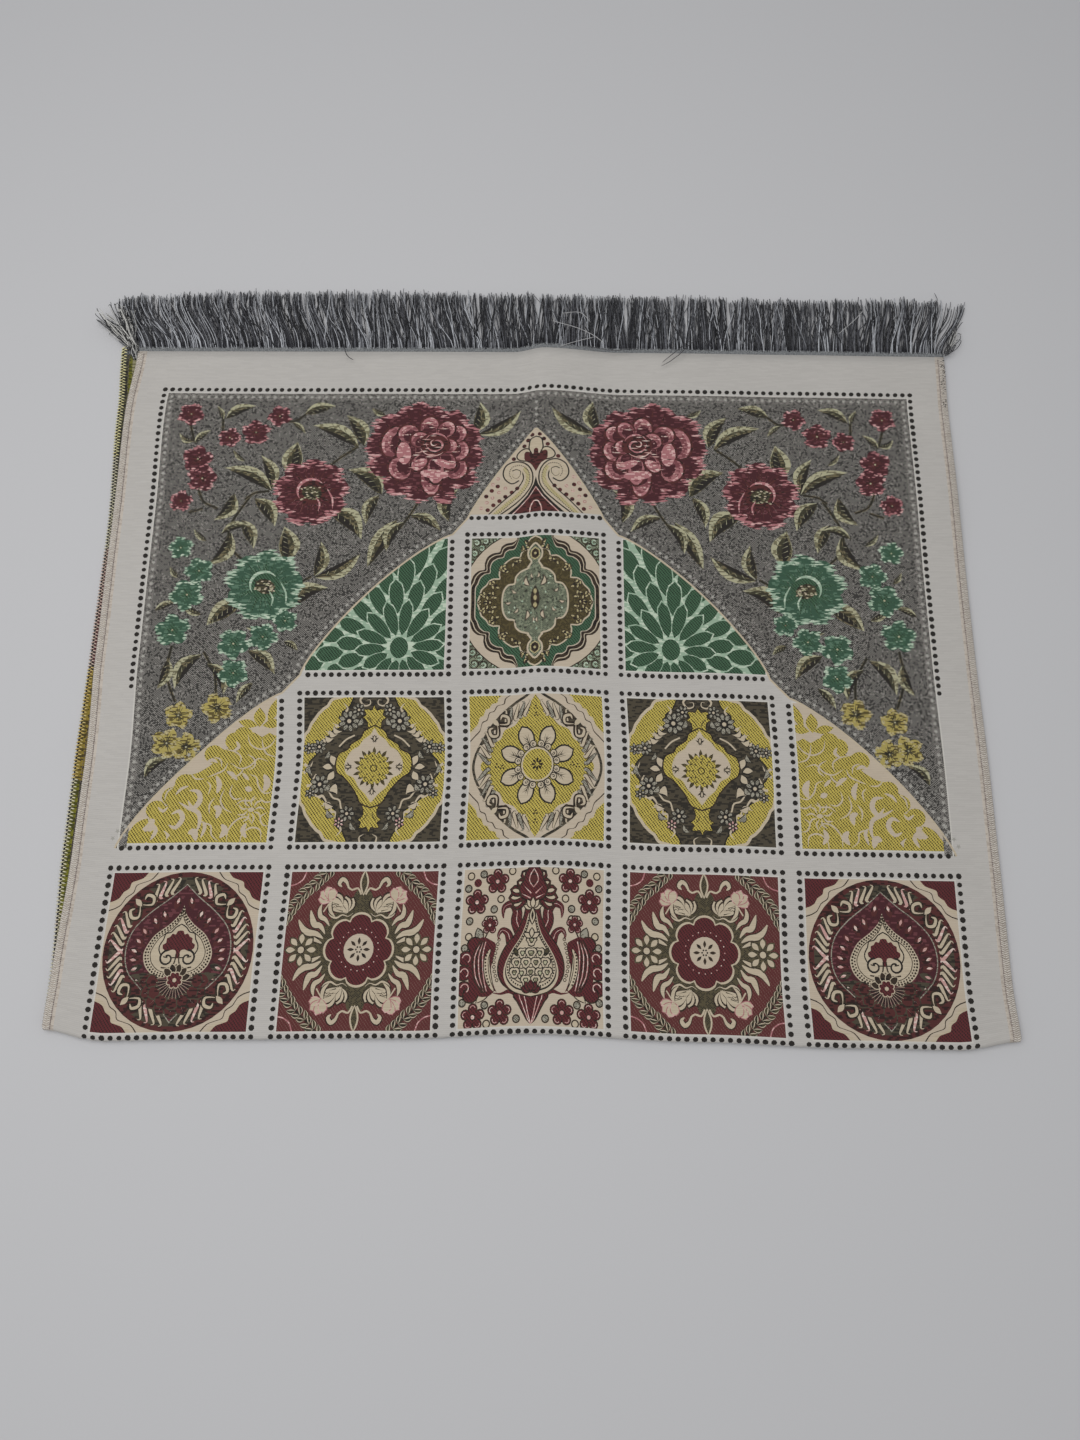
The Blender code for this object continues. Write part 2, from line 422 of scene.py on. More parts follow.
def draw_corners(pen, text, rims, finish):
    """Scalloped field in each corner with its rims: how far each rim stands out, and its finish."""
    corner = route(text, 3)
    for grow, yarn in rims + ((1.0, finish),):
        edge = [complex(-1 + grow * point.real, 1 - grow * point.imag) for point in corner]
        pen.quartered().fill(edge + [-1.1 + 1.1j], yarn)


def draw_stroke_ring(pen, turns, inner, outer, yarns, ground):
    """Ring of slanted S strokes in each quarter, with a curled hook across its middle."""
    quarter = pen.quartered()
    deep = outer - inner
    stroke = [complex(outer, 0.03), complex(outer - 0.12 * deep, 0.062), complex(outer - 0.5 * deep, 0.0),
              complex(outer - 0.88 * deep, -0.062), complex(inner, -0.03)]
    for number, turn in enumerate(turns):
        one = quarter.at(0, 1, turn)
        one.cased(curve(stroke, 3), 0.044, yarns[number % len(yarns)], ground, 0.028, swelling)
    hook = quarter.at(0, 1, 45)
    for side in (1, -1):
        wave = [complex(spot.real, side * spot.imag) for spot in places("84,0 77,5 72,12 78,18 86,14 84,8")]
        hook.line(curve(wave, 4), 0.075, ground)
        hook.line(curve(wave, 4), 0.04, yarns[0], swelling)
    hook.fill(leaf(0.8, 0.94, 0.07), yarns[0])


def draw_spade_tile(pen):
    """Beige field with a wine disc, a ring of curled strokes and a spade with a fan flower."""
    pen.fill(TILE, "beige")
    draw_corners(pen, "46,0 40,7 32,10 25,13 23,20 16,25 12,32 6,36 0,38",
                 ((1.3, "umber"), (1.26, "beige"), (1.13, "bone")), "garnet")
    pen.fill([complex(0.985 * heading(turn).real, heading(turn).imag) for turn in range(0, 360, 8)], "wine")
    pen.line(oval(0j, 0.83, 0.85, count=44), 0.17, "charcoal", closed=True)
    for turn in (45, 135, 225, 315):
        pen.at(0, 1, turn).fill(patch("72,0 80,-20 92,-18 97,0 92,18 80,20"), "wine")
    draw_stroke_ring(pen, (80, 74, 68, 62, 29, 23, 17, 11, 5), 0.73, 0.94, ("bone", "bone", "blush"),
                     "umber")
    pen.edged(half("0,84 19,67 45,47 63,26 69,0 63,-25 45,-45 19,-68 3,-85 0,-89"), "maroon", "grey", 0.014)
    pair = pen.mirrored()
    for number, (place, turn) in enumerate(table("9+62j,105 24+45j,70 35+37j,62 47+24j,55 53+12j,40 57,25 "
            "57-11j,5 54-22j,-20 47-34j,-35")):
        seed = pair.at(place / 100, 1, turn)
        seed.fill(leaf(-0.11, 0.075, 0.09, 0, 1.0, 0.7), "charcoal" if number > 6 else "wine")
        seed.fill(leaf(-0.035, 0.05, 0.036), "blush")
        for step in (-12, 12):
            pair.at(place * 0.95 / 100, 1, turn + step).line([-0.09 + 0.03j, 0.06 + 0.03j], 0.016, "umber",
                    pointed)
    pair.fill(leaf(0.24 - 0.46j, 0.6 - 0.3j, 0.1, 0.1), "charcoal")
    spade = places("0,57 5,45 17,32 33,20 42,6 45,-5 41,-19 30,-30 16,-34 7,-28 0,-22")
    pen.fill(both_sides(spade), "bone")
    for grow, size in ((0.94, 0.016), (0.865, 0.013)):
        for point in spaced(both_sides([place * grow for place in spade], 5), 0.04):
            pen.fill(oval(point, size, count=5), "umber")
    pen.line(both_sides([place * 0.8 for place in spade]), 0.01, "umber", closed=True)
    for along in (0.33, 0.38, 0.43, 0.48):
        pair.fill(oval(complex(0.022 + 0.25 * (0.5 - along), along), 0.013, count=5), "umber")
    pen.edged(half("0,33 7,29 12,23 19,21 21,14 25,7 25,0 20,-7 10,-9 0,-9"), "bone", "black", 0.015)
    pen.fill(half("0,25 4,24 6,20 10,21 13,17 17,15 17,10 21,7 20,2 14,-1 8,1 3,-1 2,-10"), "garnet")
    pair.line(spiral(0.135 - 0.1j, 0.105, 0.03, 95, -400, 16), 0.026, "black")
    pair.line(spiral(0.135 - 0.1j, 0.08, 0.022, 95, -340, 12), 0.022, "bone")
    pair.line(route("2,-4 3,-15 9,-22 20,-21"), 0.018, "umber")
    draw_fan_flower(pen.at(-0.37j))


def draw_fan_flower(pen):
    """Rosette over a fan of thin rays and two rows of scale petals."""
    for reach, count, width in ((0.46, 9, 0.19), (0.37, 7, 0.17)):
        for step in range(count):
            petal = pen.at(0, 1, -178 + 176 * step / (count - 1))
            petal.edged(leaf(0.2, reach, width, 0, 1.2, 0.6), "wine", "charcoal", 0.016)
            petal.line([0.24, reach - 0.04], 0.012, "blush", pointed)
    for turn in range(-186, 7, 12):
        pen.line([0.1 * heading(turn), 0.235 * heading(turn)], 0.026, "bone", swelling)
        pen.line([0.11 * heading(turn + 6), 0.21 * heading(turn + 6)], 0.014, "black")
    for turn in range(16, 165, 30):
        pen.edged(leaf(0.08 * heading(turn), 0.21 * heading(turn), 0.09, 0, 0.8, 0.6), "umber", "bone",
                  0.01)
    pen.edged(lobes(0j, 0.105, 8, 0.22), "garnet", "bone", 0.012)
    pen.fill(oval(0j, 0.028, count=6), "bone")


def draw_rosette_tile(pen):
    """Crimson field with garlands across its corners, a leaf wreath and a lobed rosette."""
    pen.fill(TILE, "crimson")
    quarter = pen.quartered()
    garland = route("46,104 62,88 74,78 84,66 93,52 104,36", 3)
    quarter.line(garland, 0.03, "umber")
    for step, root in enumerate(spaced(garland, 0.085)):
        for side in (1, -1):
            tip = root + 0.125 * heading(-48 + side * 38 + 5 * (step % 3))
            quarter.fill(leaf(root, tip, 0.078, side * 0.12), "umber")
            quarter.fill(leaf(root, tip, 0.058, side * 0.12), "bone")
            quarter.fill(leaf(root, tip, 0.034, side * 0.12), "olive")
    quarter.line(route("80,100 84,90 92,84 100,82"), 0.016, "rose")
    pen.fill(half("0,80 10,74 16,62 30,52 40,40 50,26 54,10 56,0 54,-12 48,-28 40,-42 28,-54 14,-64 10,-74 "
                  "0,-80"), "moss")
    pair = pen.mirrored()
    pair.fill(patch("50,26 60,18 70,22 80,12 88,2 80,-12 70,-22 60,-18 50,-26 46,0"), "moss")
    for root, turn in table("22+50j,120 22+50j,85 22+50j,50 24+48j,15 30+56j,60 30+56j,20"):
        frond = quarter.at(root / 100, 1, turn)
        frond.fill(leaf(-0.05, 0.2, 0.135, 0.1, 1.4, 0.6), "umber")
        frond.fill(leaf(-0.05, 0.18, 0.1, 0.1, 1.4, 0.6), "bone")
        frond.line([0.02, 0.13], 0.014, "olive", tapered)
    hook = route("12,46 18,42 26,44 34,40 42,44 44,52 38,56 34,52", 3)
    quarter.cased(hook, 0.034, "bone", "umber", 0.026, swelling)
    for text, width, yarn in (("49,14 58,20 70,22 78,28 84,38", 0.08, "bone"),
            ("47,20 54,30 62,32 66,40 69,50", 0.08, "bone"),
                              ("42,30 48,38 55,42 57,50 55,58", 0.06, "bone"),
            ("50,8 58,12 64,14 70,13", 0.05, "bone"), ("36,42 42,48 44,56 42,64", 0.045, "bone")):
        quarter.cased(route(text, 3), width, yarn, "umber", 0.03, pointed)
    for turn, reach in table("0,0.16 35,0.17 70,0.17 105,0.14"):
        shell = quarter.at(0.44 + 0.64j, 1, turn)
        shell.fill(leaf(-0.04, reach + 0.012, 0.13, 0, 1.5, 0.5), "rose")
        shell.fill(leaf(-0.03, reach, 0.105, 0, 1.5, 0.5), "bone")
    quarter.cased(route("12,76 20,78 24,86 30,90 34,84 30,80", 3), 0.055, "bone", "umber", 0.03, swelling)
    quarter.line(route("3,70 8,78 16,76 22,80", 3), 0.024, "bone")
    quarter.line(route("30,58 38,62 44,60 52,48", 3), 0.018, "bone")
    for along in (0.87, -0.87):
        pen.edged(leaf(complex(0, along * 0.8), complex(0, along * 1.16), 0.1), "moss", "bone", 0.022)
    for side in (0, 180):
        star = pen.at(0.77 * heading(side))
        for turn in range(0, 360, 45):
            star.fill(leaf(0.045 * heading(turn), 0.225 * heading(turn), 0.105, 0, 1.2, 0.8), "moss")
            star.fill(leaf(0.075 * heading(turn), 0.2 * heading(turn), 0.07, 0, 1.2, 0.8), "bone")
        star.edged(oval(0j, 0.05, count=10), "bone", "umber", 0.014)
    pen.fill(lobes(0j, 0.475, 8, 0.17, 22.5, 8), "bone")
    pen.fill(lobes(0j, 0.445, 8, 0.17, 22.5, 8), "garnet")
    for turn in range(0, 360, 18):
        pen.fill(oval(0.265 * heading(turn), 0.01, count=4), "blush")
    pen.fill(oval(0j, 0.2, count=20), "beige")
    for turn in range(0, 360, 45):
        pen.fill(leaf(0.06 * heading(turn), 0.155 * heading(turn), 0.04), "umber")
    for turn in range(0, 360, 60):
        pen.fill(oval(0.035 * heading(turn), 0.014, count=5), "charcoal")


def draw_pomegranate_tile(pen):
    """Beige field filled with mustard damask foliage, cut by the arch."""
    pen.fill(TILE, "beige")
    pen.fill(route("110,48 98,46 90,50 80,44 70,50 58,50 54,38 46,42 38,40 36,30 28,26 20,30 12,26 8,18 "
                   "14,8 4,0 -6,-6 "
                   "-14,-8 -24,-10 -30,-18 -38,-26 -42,-36 -36,-46 -46,-52 -58,-52 -62,-62 -54,-70 -46,-74 "
                   "-40,-84 "
                   "-32,-90 -40,-99", 2) + [-0.4 - 1.1j, 1.1 - 1.1j], "mustard")
    for text, width in (("-92,-104 -86,-90 -76,-78 -62,-68", 0.12), ("-72,-104 -66,-94 -58,-86", 0.14)):
        pen.line(route(text), width, "mustard", swelling)
    for root, tip, width in table("76+58j,76+86j,17 88+62j,102+100j,13 74+60j,46+66j,12 80+60j,108+66j,13"):
        pen.fill(leaf(root / 100, tip / 100, width / 100), "mustard")
    for spot in places("-22,-20 -37,-38 -56,-56 -42,-72 -78,-92 -50,-94 42,38 54,46 14,20"):
        pen.fill(oval(spot, 0.135, 0.125, count=14), "mustard")
    for text, width in (("-14,-30 -2,-32 2,-44 -6,-54 -14,-44", 0.075), ("20,-10 26,-22 24,-34", 0.075),
                        ("34,-4 42,-8 50,-16", 0.06),
                        ("-34,-62 -24,-58 -18,-68 -26,-80 -36,-76", 0.07), ("-8,-88 0,-86 4,-98", 0.1),
                        ("22,-52 30,-56 28,-68", 0.085),
                        ("-26,-46 -12,-54 2,-60 6,-74 2,-90", 0.06), ("36,-76 42,-84 36,-94", 0.09),
                        ("86,-8 92,-20 88,-32", 0.095), ("62,-26 72,-30", 0.08),
                        ("10,-94 14,-80 10,-72", 0.05), ("56,-6 66,-16", 0.05),
                        ("-58,-74 -52,-84 -58,-96", 0.06), ("70,-74 66,-84 72,-94", 0.07),
                        ("40,24 48,30 44,38", 0.05), ("-32,-36 -26,-28 -16,-24", 0.04),
                        ("-54,-52 -46,-58 -40,-52", 0.04), ("4,8 12,12 20,8", 0.05)):
        pen.line(route(text, 3), width, "beige", pointed)
    for text in ("60,48 64,34 78,27 92,32 100,44", "30,26 42,24 52,16 50,4", "80,42 82,30 88,20 102,16",
                 "14,16 24,12 26,2", "38,8 52,0 66,4 76,14 90,10",
                 "8,-12 18,-8 30,-2 34,8", "44,-22 42,-34 50,-42 60,-40",
                 "66,-8 76,-12 80,-24 90,-34 104,-30", "34,-28 30,-42 36,-54 48,-60",
                 "4,-70 12,-74 22,-78 24,-90 34,-98", "46,-100 46,-84 56,-70 70,-66 78,-76",
                 "52,-50 60,-44 72,-44 80,-40", "84,-40 92,-46 104,-44",
                 "64,-104 66,-88 78,-80 90,-84 92,-98", "-16,-6 -8,-14 4,-14", "22,-40 16,-50 18,-62",
                 "96,-60 88,-66 92,-76 100,-78", "60,20 70,14 72,4 64,-2",
                 "40,-14 52,-8 58,2", "-46,-44 -44,-32 -36,-26", "-66,-64 -62,-74 -66,-84",
                 "12,-36 14,-24 8,-18"):
        pen.line(route(text, 3), 0.024, "bone", pointed)
    flower = pen.at(0.74 - 0.56j)
    for turn in range(0, 360, 40):
        flower.line(curve([0.05 * heading(turn), 0.12 * heading(turn + 16), 0.19 * heading(turn)], 3),
                    0.024, "bone", pointed)
    flower.fill(oval(0j, 0.045, 0.03), "bone")


def draw_crown_tile(pen):
    """Charcoal field with a scalloped mustard frame round a crowned four-pointed medallion."""
    pen.fill(TILE, "charcoal")
    outer = places("34,104 48,100 60,97 66,88 72,84 80,76 84,70 90,62 94,52 99,46 102,28 104,0")
    inner = places("94,0 90,10 84,16 78,24 76,36 66,44 60,52 50,56 46,66 46,78 36,86 30,98 30,104")
    quarter = pen.quartered()
    quarter.fill(curve(outer, 3) + curve(inner, 3), "mustard")
    quarter.line(curve(outer, 3), 0.04, "bone")
    quarter.line(curve(inner, 3), 0.02, "black")
    for text in ("92,24 84,24 78,30", "74,40 68,38 62,48 70,52", "66,50 58,48 54,58 60,64",
                 "56,60 48,60 48,70", "44,76 38,84 44,92", "98,6 90,2 86,10"):
        quarter.line(route(text), 0.045, "bone", tapered)
    hook = pen.mirrored()
    hook.line(route("14,104 20,96 14,88 6,90 6,96 11,96"), 0.034, "bone", tapered)
    hook.line(route("10,-104 12,-94 6,-90"), 0.03, "bone", tapered)
    pair = pen.mirrored()
    for text in ("-62,-28 -54,-40 -44,-44 -40,-56 -30,-66", "80,-8 86,-22 80,-36 70,-40",
                 "50,30 40,40 28,46"):
        pair.line(route(text), 0.022, "bone")
    for place, size, petals, yarn in table("36+66j,0.16,9,grey 22+82j,0.1,7,grey 78+30j,0.105,8,grey "
            "92+28j,0.085,7,grey 74-22j,0.14,8,grey 32-62j,0.115,7,grey 42-74j,0.075,6,blush "
            "86-34j,0.075,6,grey"):
        flower = pair.at(place / 100, size)
        flower.fill(lobes(0j, 1.05, petals, 0.35, 0, 3), "black")
        for step in range(petals):
            around = 360.0 * step / petals + 180 / petals
            flower.fill(oval(0.64 * heading(around), 0.27, 0.17, around, 7), yarn)
        flower.edged(oval(0j, 0.24, count=8), "bone", "black", 0.1)
    for root, tip, width, bend, yarn in table("56+4j,62+18j,9,0.1,bone 58,72+2j,8,0.1,bone "
            "56-4j,64-16j,9,-0.1,bone 52+8j,52+16j,5,0.2,bone 48-36j,62-32j,11,0.5,bone "
            "64-46j,52-52j,7,0.3,bone 60-56j,48-66j,6,0.3,grey 70+46j,58+42j,7,0.4,bone "
            "64+54j,52+48j,7,0.4,bone 58+60j,46+52j,6,0.4,bone 90+6j,86-8j,6,0.3,grey "
            "24+60j,18+70j,6,0.2,grey 26-74j,18-84j,5,0.2,grey 70+14j,64+24j,5,0.2,grey "
            "68-30j,60-22j,6,0.2,grey"):
        root, tip = root / 100, tip / 100
        pair.fill(leaf(root, tip, width / 66, bend), "black")
        pair.fill(leaf(root, tip, width / 100, bend), yarn)
    for side, size in ((1, 1.0), (-1, 0.95)):
        crown = pen.at(0.58j * side, size, 0 if side > 0 else 180)
        crown.edged(half("0,31 4,24 8,25 15,24 12,17 17,13 11,8 10,0 12,-8 0,-14", 3), "mustard", "umber",
                    0.014)
        crown.mirrored().line(route("3,4 6,10 10,14", 2), 0.012, "bronze")
    pen.edged(half("0,60 15,52 20,42 33,34 38,26 50,20 54,6 51,-6 42,-12 34,-20 24,-32 18,-44 12,-50 0,-54",
                   3), "mustard", "umber", 0.02)
    pen.edged(half("0,55 5,46 15,39 21,30 31,24 38,13 40,3 37,-7 26,-13 18,-26 8,-35 0,-46", 3), "beige",
              "bone", 0.024)
    for turn in range(0, 360, 18):
        pen.fill(leaf(0.16 * heading(turn), (0.3 if turn % 36 else 0.26) * heading(turn), 0.05), "bronze")
    pen.fill(lobes(0j, 0.225, 13, 0.16), "mustard")
    for reach, count in ((0.12, 8), (0.17, 11)):
        for step in range(count):
            pen.fill(oval(reach * heading(360.0 * step / count), 0.02, 0.012, 40.0 * step, 5), "bronze")
    pen.edged(oval(0j, 0.045, count=8), "mustard", "umber", 0.014)
    for place, turn in table("0.39j,90 -0.3j,-90 0.34+0.02j,0 -0.34+0.02j,180"):
        sprig = pen.at(place, 1, turn)
        for bend in (-60, -25, 25, 60):
            sprig.fill(leaf(-0.04 * heading(bend), 0.075 * heading(bend), 0.028), "charcoal")
        sprig.edged(leaf(-0.02, 0.07, 0.042), "bone", "charcoal", 0.012)


def draw_daisy_tile(pen):
    """Pale field with a pointed dark ring of flame strokes round an eight-petalled daisy."""
    pen.fill(TILE, "beige")
    draw_corners(pen, "50,0 44,4 42,10 34,12 30,18 24,20 21,28 15,31 12,40 6,46 0,52",
                 ((1.26, "umber"), (1.22, "beige"), (1.09, "bone")), "mustard")
    ring = "0,112 12,101 30,91 50,76 68,58 82,38 93,18 97,0"
    for grow, finish in ((1.0, "charcoal"), (0.96, "beige")):
        pen.fill(both_sides(up_and_down([spot * grow for spot in places(ring)])), finish)
    quarter = pen.quartered()
    wedge = "40,80 52,72 66,58 76,44 84,30 76,34 72,42 66,42 64,50 58,52 56,60 48,62 46,70 40,72"
    quarter.fill(patch(wedge), "charcoal")
    pen.fill(half("0,99 10,84 12,72 24,66 33,56 48,50 54,38 66,30 70,16 82,6 84,0 82,-6 70,-16 66,-30 "
                  "54,-38 48,-50 33,-56 24,-66 12,-72 10,-84 0,-99", 3), "mustard")
    draw_stroke_ring(pen, (81, 75, 69, 62, 56, 34, 28, 22, 15, 8), 0.7, 0.92, ("bone", "grey"), "umber")
    for turn in range(0, 360, 45):
        petal = pen.at(0, 1, turn + 22.5)
        petal.edged(leaf(0.2, 0.58, 0.225, 0, 1.25, 0.62, 8), "bone", "black", 0.024)
        petal.line([0.27, 0.46], 0.02, "charcoal", tapered)
        for bend in (1, -1):
            for start, stop in ((0.37, 0.45), (0.32, 0.41)):
                petal.line([start, stop + 0.052j * bend], 0.013, "charcoal", tapered)
            petal.edged(oval(0.285 + 0.055j * bend, 0.05, count=10), "bone", "black", 0.014)
            petal.line(spiral(0.285 + 0.055j * bend, 0.026, 0.006, 180, 330 * bend, 7), 0.012, "black")
    pen.line(oval(0j, 0.25, count=24), 0.014, "black", closed=True)
    pen.edged(oval(0j, 0.228, count=24), "mustard", "bone", 0.022)
    for turn in range(0, 360, 45):
        pen.fill(leaf(0.02 * heading(turn), 0.095 * heading(turn), 0.034), "umber")
    for place in (0.7j, -0.66j, 0.6, -0.6, 0.52 + 0.02j, -0.52 - 0.02j, 0.8j, -0.78j):
        for turn in (0, 120, 240):
            pen.fill(oval(place + 0.025 * heading(turn + 90), 0.015, count=5), "umber")


def draw_chrysanthemum_tile(pen):
    """Mint field with rings of blunt green petals round an off-centre disc."""
    pen.fill(TILE, "mint")
    flower = pen.at(0.34 - 0.67j)
    rows = ((0.18, 0.66, 14, 0.18, 4), (0.5, 0.94, 18, 0.21, 15), (0.78, 1.22, 22, 0.235, 5),
            (1.06, 1.52, 26, 0.26, 11), (1.36, 1.84, 29, 0.285, 3), (1.68, 2.2, 31, 0.31, 8))
    for inner, outer, count, width, turn in reversed(rows):
        for step in range(count):
            around = turn + 360.0 * step / count
            stretch = 1.0 + 0.14 * math.sin(math.radians(around)) + 0.05 * math.sin(3.1 * step)
            petal = flower.at(0, 1, around)
            petal.fill(leaf(inner, outer * stretch, width * 1.14, 0, 1.2, 0.45, 6), "mint")
            petal.fill(leaf(inner * 1.03, outer * stretch - 0.025, width, 0, 1.2, 0.45, 6), "green")
    flower.edged(oval(0j, 0.15, 0.18, count=16), "green", "mint", 0.035)


def draw_vase_tile(pen):
    """Beige field scattered with rings and small flowers round a tall palmette vase."""
    pen.fill(TILE, "beige")
    pair = pen.mirrored()
    for finish, rings in (("bone", "90,91 31,96 46,60 89,13 61,-96"),
                          ("grey", "72,93 93,75 55,47 89,33 94,-1 95,-69 64,-73 20,-91")):
        for spot in places(rings):
            pair.edged(oval(spot, 0.047, count=12), finish, "umber", 0.018)
    pair.fill(oval(0.8 + 0.82j, 0.055, count=12), "garnet")
    for spot in places("52,83 80,57 80,-87 43,-83"):
        draw_five_petals(pair.at(spot, 0.175))
    pair.line(route("61,20 66,10 64,2"), 0.02, "umber")
    draw_five_petals(pair.at(0.6 + 0.27j, 0.125))
    pair.line(route("50,33 53,38 59,38 66,38 69,33", 3), 0.018, "umber")
    pair.edged(leaf(0.7 + 0.02j, 0.77 + 0.24j, 0.12, 0, 1.3), "grey", "umber", 0.016)
    for tip in (0.86 - 0.6j, 0.76 - 0.7j):
        pair.edged(leaf(0.56 - 0.58j, tip, 0.1, 0.1), "bone", "umber", 0.014)
    draw_vase_wing(pair)
    tail = "13,-52 24,-62 19,-70 13,-80 6,-92 0,-97"
    pair.line(route("54,-58 42,-60 30,-57 20,-62 16,-74", 3), 0.06, "garnet", swelling)
    pen.edged(half("0,-50 " + tail), "garnet", "umber", 0.018)
    for lines in ("9,-52 16,-62 13,-70 9,-80 4,-92 0,-97", "5,-52 9,-62 7,-70 5,-80 2,-92 0,-97"):
        pen.line(half(lines, 2), 0.012, "blush")
    for text, width in (("12,12 22,30 22,44 30,53 40,50 42,42 41,35", 0.17),
                        ("26,-6 30,6 34,16 42,20 47,14 46,8", 0.13)):
        pair.cased(route(text), width, "garnet", "umber", 0.03, tapered)
        pair.line(route(text), 0.012, "blush", tapered)
    pear = places("0,56 9,50 13,34 22,16 36,0 45,-18 46,-34 40,-47 28,-56 12,-62 0,-64")
    pen.edged(both_sides(pear), "garnet", "umber", 0.018)
    inner = places("0,42 5,36 8,24 14,10 24,-4 32,-18 35,-32 31,-44 20,-53 0,-58")
    for grow, finish in ((1.1, "bone"), (1.03, "black"), (0.99, "bone")):
        pen.fill(both_sides([complex(point.real * grow, point.imag * grow + 0.02 * (grow - 1))
                for point in inner]), finish)
    for point in spaced(both_sides([point * 0.93 for point in inner], 5), 0.036):
        pen.fill(oval(point, 0.013, count=5), "black")
    pen.line(both_sides([point * 0.86 for point in inner]), 0.012, "umber", closed=True)
    draw_vase_filigree(pen)
    draw_vase_crown(pen)


def draw_vase_wing(pen):
    """Lobed side leaf of the vase with a beaded crescent and a row of rings."""
    for spot in places("80,3 91,-14 94,-32 93,-52 84,-60"):
        pen.edged(oval(spot, 0.105, 0.095, count=14), "garnet", "umber", 0.018)
    pen.fill(patch("58,8 70,12 84,2 86,-14 88,-34 84,-52 72,-62 58,-62 50,-56 46,-60 52,-48 56,-30 52,-12 "
                   "50,2"), "garnet")
    for centre in places("91,-14 93,-32 92,-51"):
        pen.line(arc(centre, 0.055, 10, 240, 8), 0.014, "blush")
    for shift in (0.0, 0.055, 0.11):
        for text, width, finish in (("72,8 82,-12 80,-38 68,-58", 0.016, "umber"),
                ("70,6 79,-12 77,-38 66,-56", 0.012, "blush")):
            vein = [spot - shift * share for spot, share in zip(places(text), (0.5, 1, 1, 0.4))]
            pen.line(curve(vein, 3), width, finish)
    crescent = route("58,-4 62,-16 61,-32 57,-46 52,-56", 4)
    for width, finish in ((0.11, "umber"), (0.08, "bone")):
        pen.line(crescent, width, finish, pointed)
    for point in spaced(crescent, 0.042)[1:-1]:
        pen.fill(oval(point + 0.018, 0.014, count=5), "umber")
    pen.line([point - 0.02 for point in crescent], 0.01, "umber")
    for point in spaced(route("46,8 49,-4 52,-18 51,-32 47,-44", 4), 0.058):
        pen.edged(oval(point, 0.02, count=7), "bone", "umber", 0.011)


def draw_five_petals(pen):
    """Small five-petalled flower of radius 1."""
    for turn in range(90, 450, 72):
        pen.edged(oval(0.6 * heading(turn), 0.36, 0.36, turn, 12), "garnet", "umber", 0.07)
        pen.line(arc(0.62 * heading(turn), 0.2, turn - 80, turn + 80, 5), 0.05, "blush")
    pen.fill(oval(0j, 0.4, count=10), "garnet")
    pen.edged(oval(0j, 0.19, count=8), "blush", "umber", 0.08)


def draw_vase_filigree(pen):
    """Rows of small scale petals inside the vase, under a trefoil."""
    pair = pen.mirrored()
    for spot in places("0,6 12,-10 -1,-10 20,-22 7,-22 0,-34 13,-35 23,-34 7,-44"):
        for grow, finish in table("1,black 0.8,bone 0.46,black 0.28,leaf_light"):
            pair.fill(lobes(spot, 0.088 * grow, 3, 0.28, -30, 4), finish)
    for turn in (30, 90):
        pair.edged(leaf(0.09j, 0.09j + 0.13 * heading(turn), 0.07), "bone", "black", 0.016)
    pair.edged(leaf(0.19 - 0.14j, 0.24 - 0.03j, 0.06), "olive", "black", 0.012)
    for turn in (20, 55, 90):
        pair.edged(leaf(-0.58j, -0.58j + 0.15 * heading(turn), 0.09), "garnet", "umber", 0.014)


def draw_vase_crown(pen):
    """Feathered palmette over the vase's neck."""
    pair = pen.mirrored()
    for root, tip, width in table("8+58j,30+50j,15 8+62j,35+61j,15 8+66j,33+72j,14 6+74j,24+82j,13 "
            "4+82j,17+95j,13"):
        root, tip, width = root / 100, tip / 100, width / 100
        pair.edged(leaf(root, tip, width, 0, 1.6, 0.5), "garnet", "umber", 0.02)
        pair.edged(leaf(root + (tip - root) * 0.35, root + (tip - root) * 0.9, width * 0.42, 0, 1.3, 0.6),
                   "bone", "umber", 0.012)
    pen.edged(half("0,106 11,95 14,84 20,74 17,62 8,56 0,52", 3), "garnet", "umber", 0.02)
    pen.edged(half("0,98 5,90 6,82 0,74", 3), "wine", "blush", 0.012)
    for root, tip in ((3 + 66j, 14 + 76j), (4 + 60j, 17 + 66j)):
        pair.line([root / 100, tip / 100], 0.02, "blush", tapered)
    for turn, reach in ((20, 0.14), (55, 0.15), (90, 0.15)):
        pair.edged(leaf(0.46j, 0.46j + reach * heading(turn), 0.075), "bone", "umber", 0.016)
    pen.edged(leaf(0.26j, 0.48j, 0.09), "bone", "umber", 0.018)
    pen.fill(leaf(0.31j, 0.44j, 0.035), "umber")


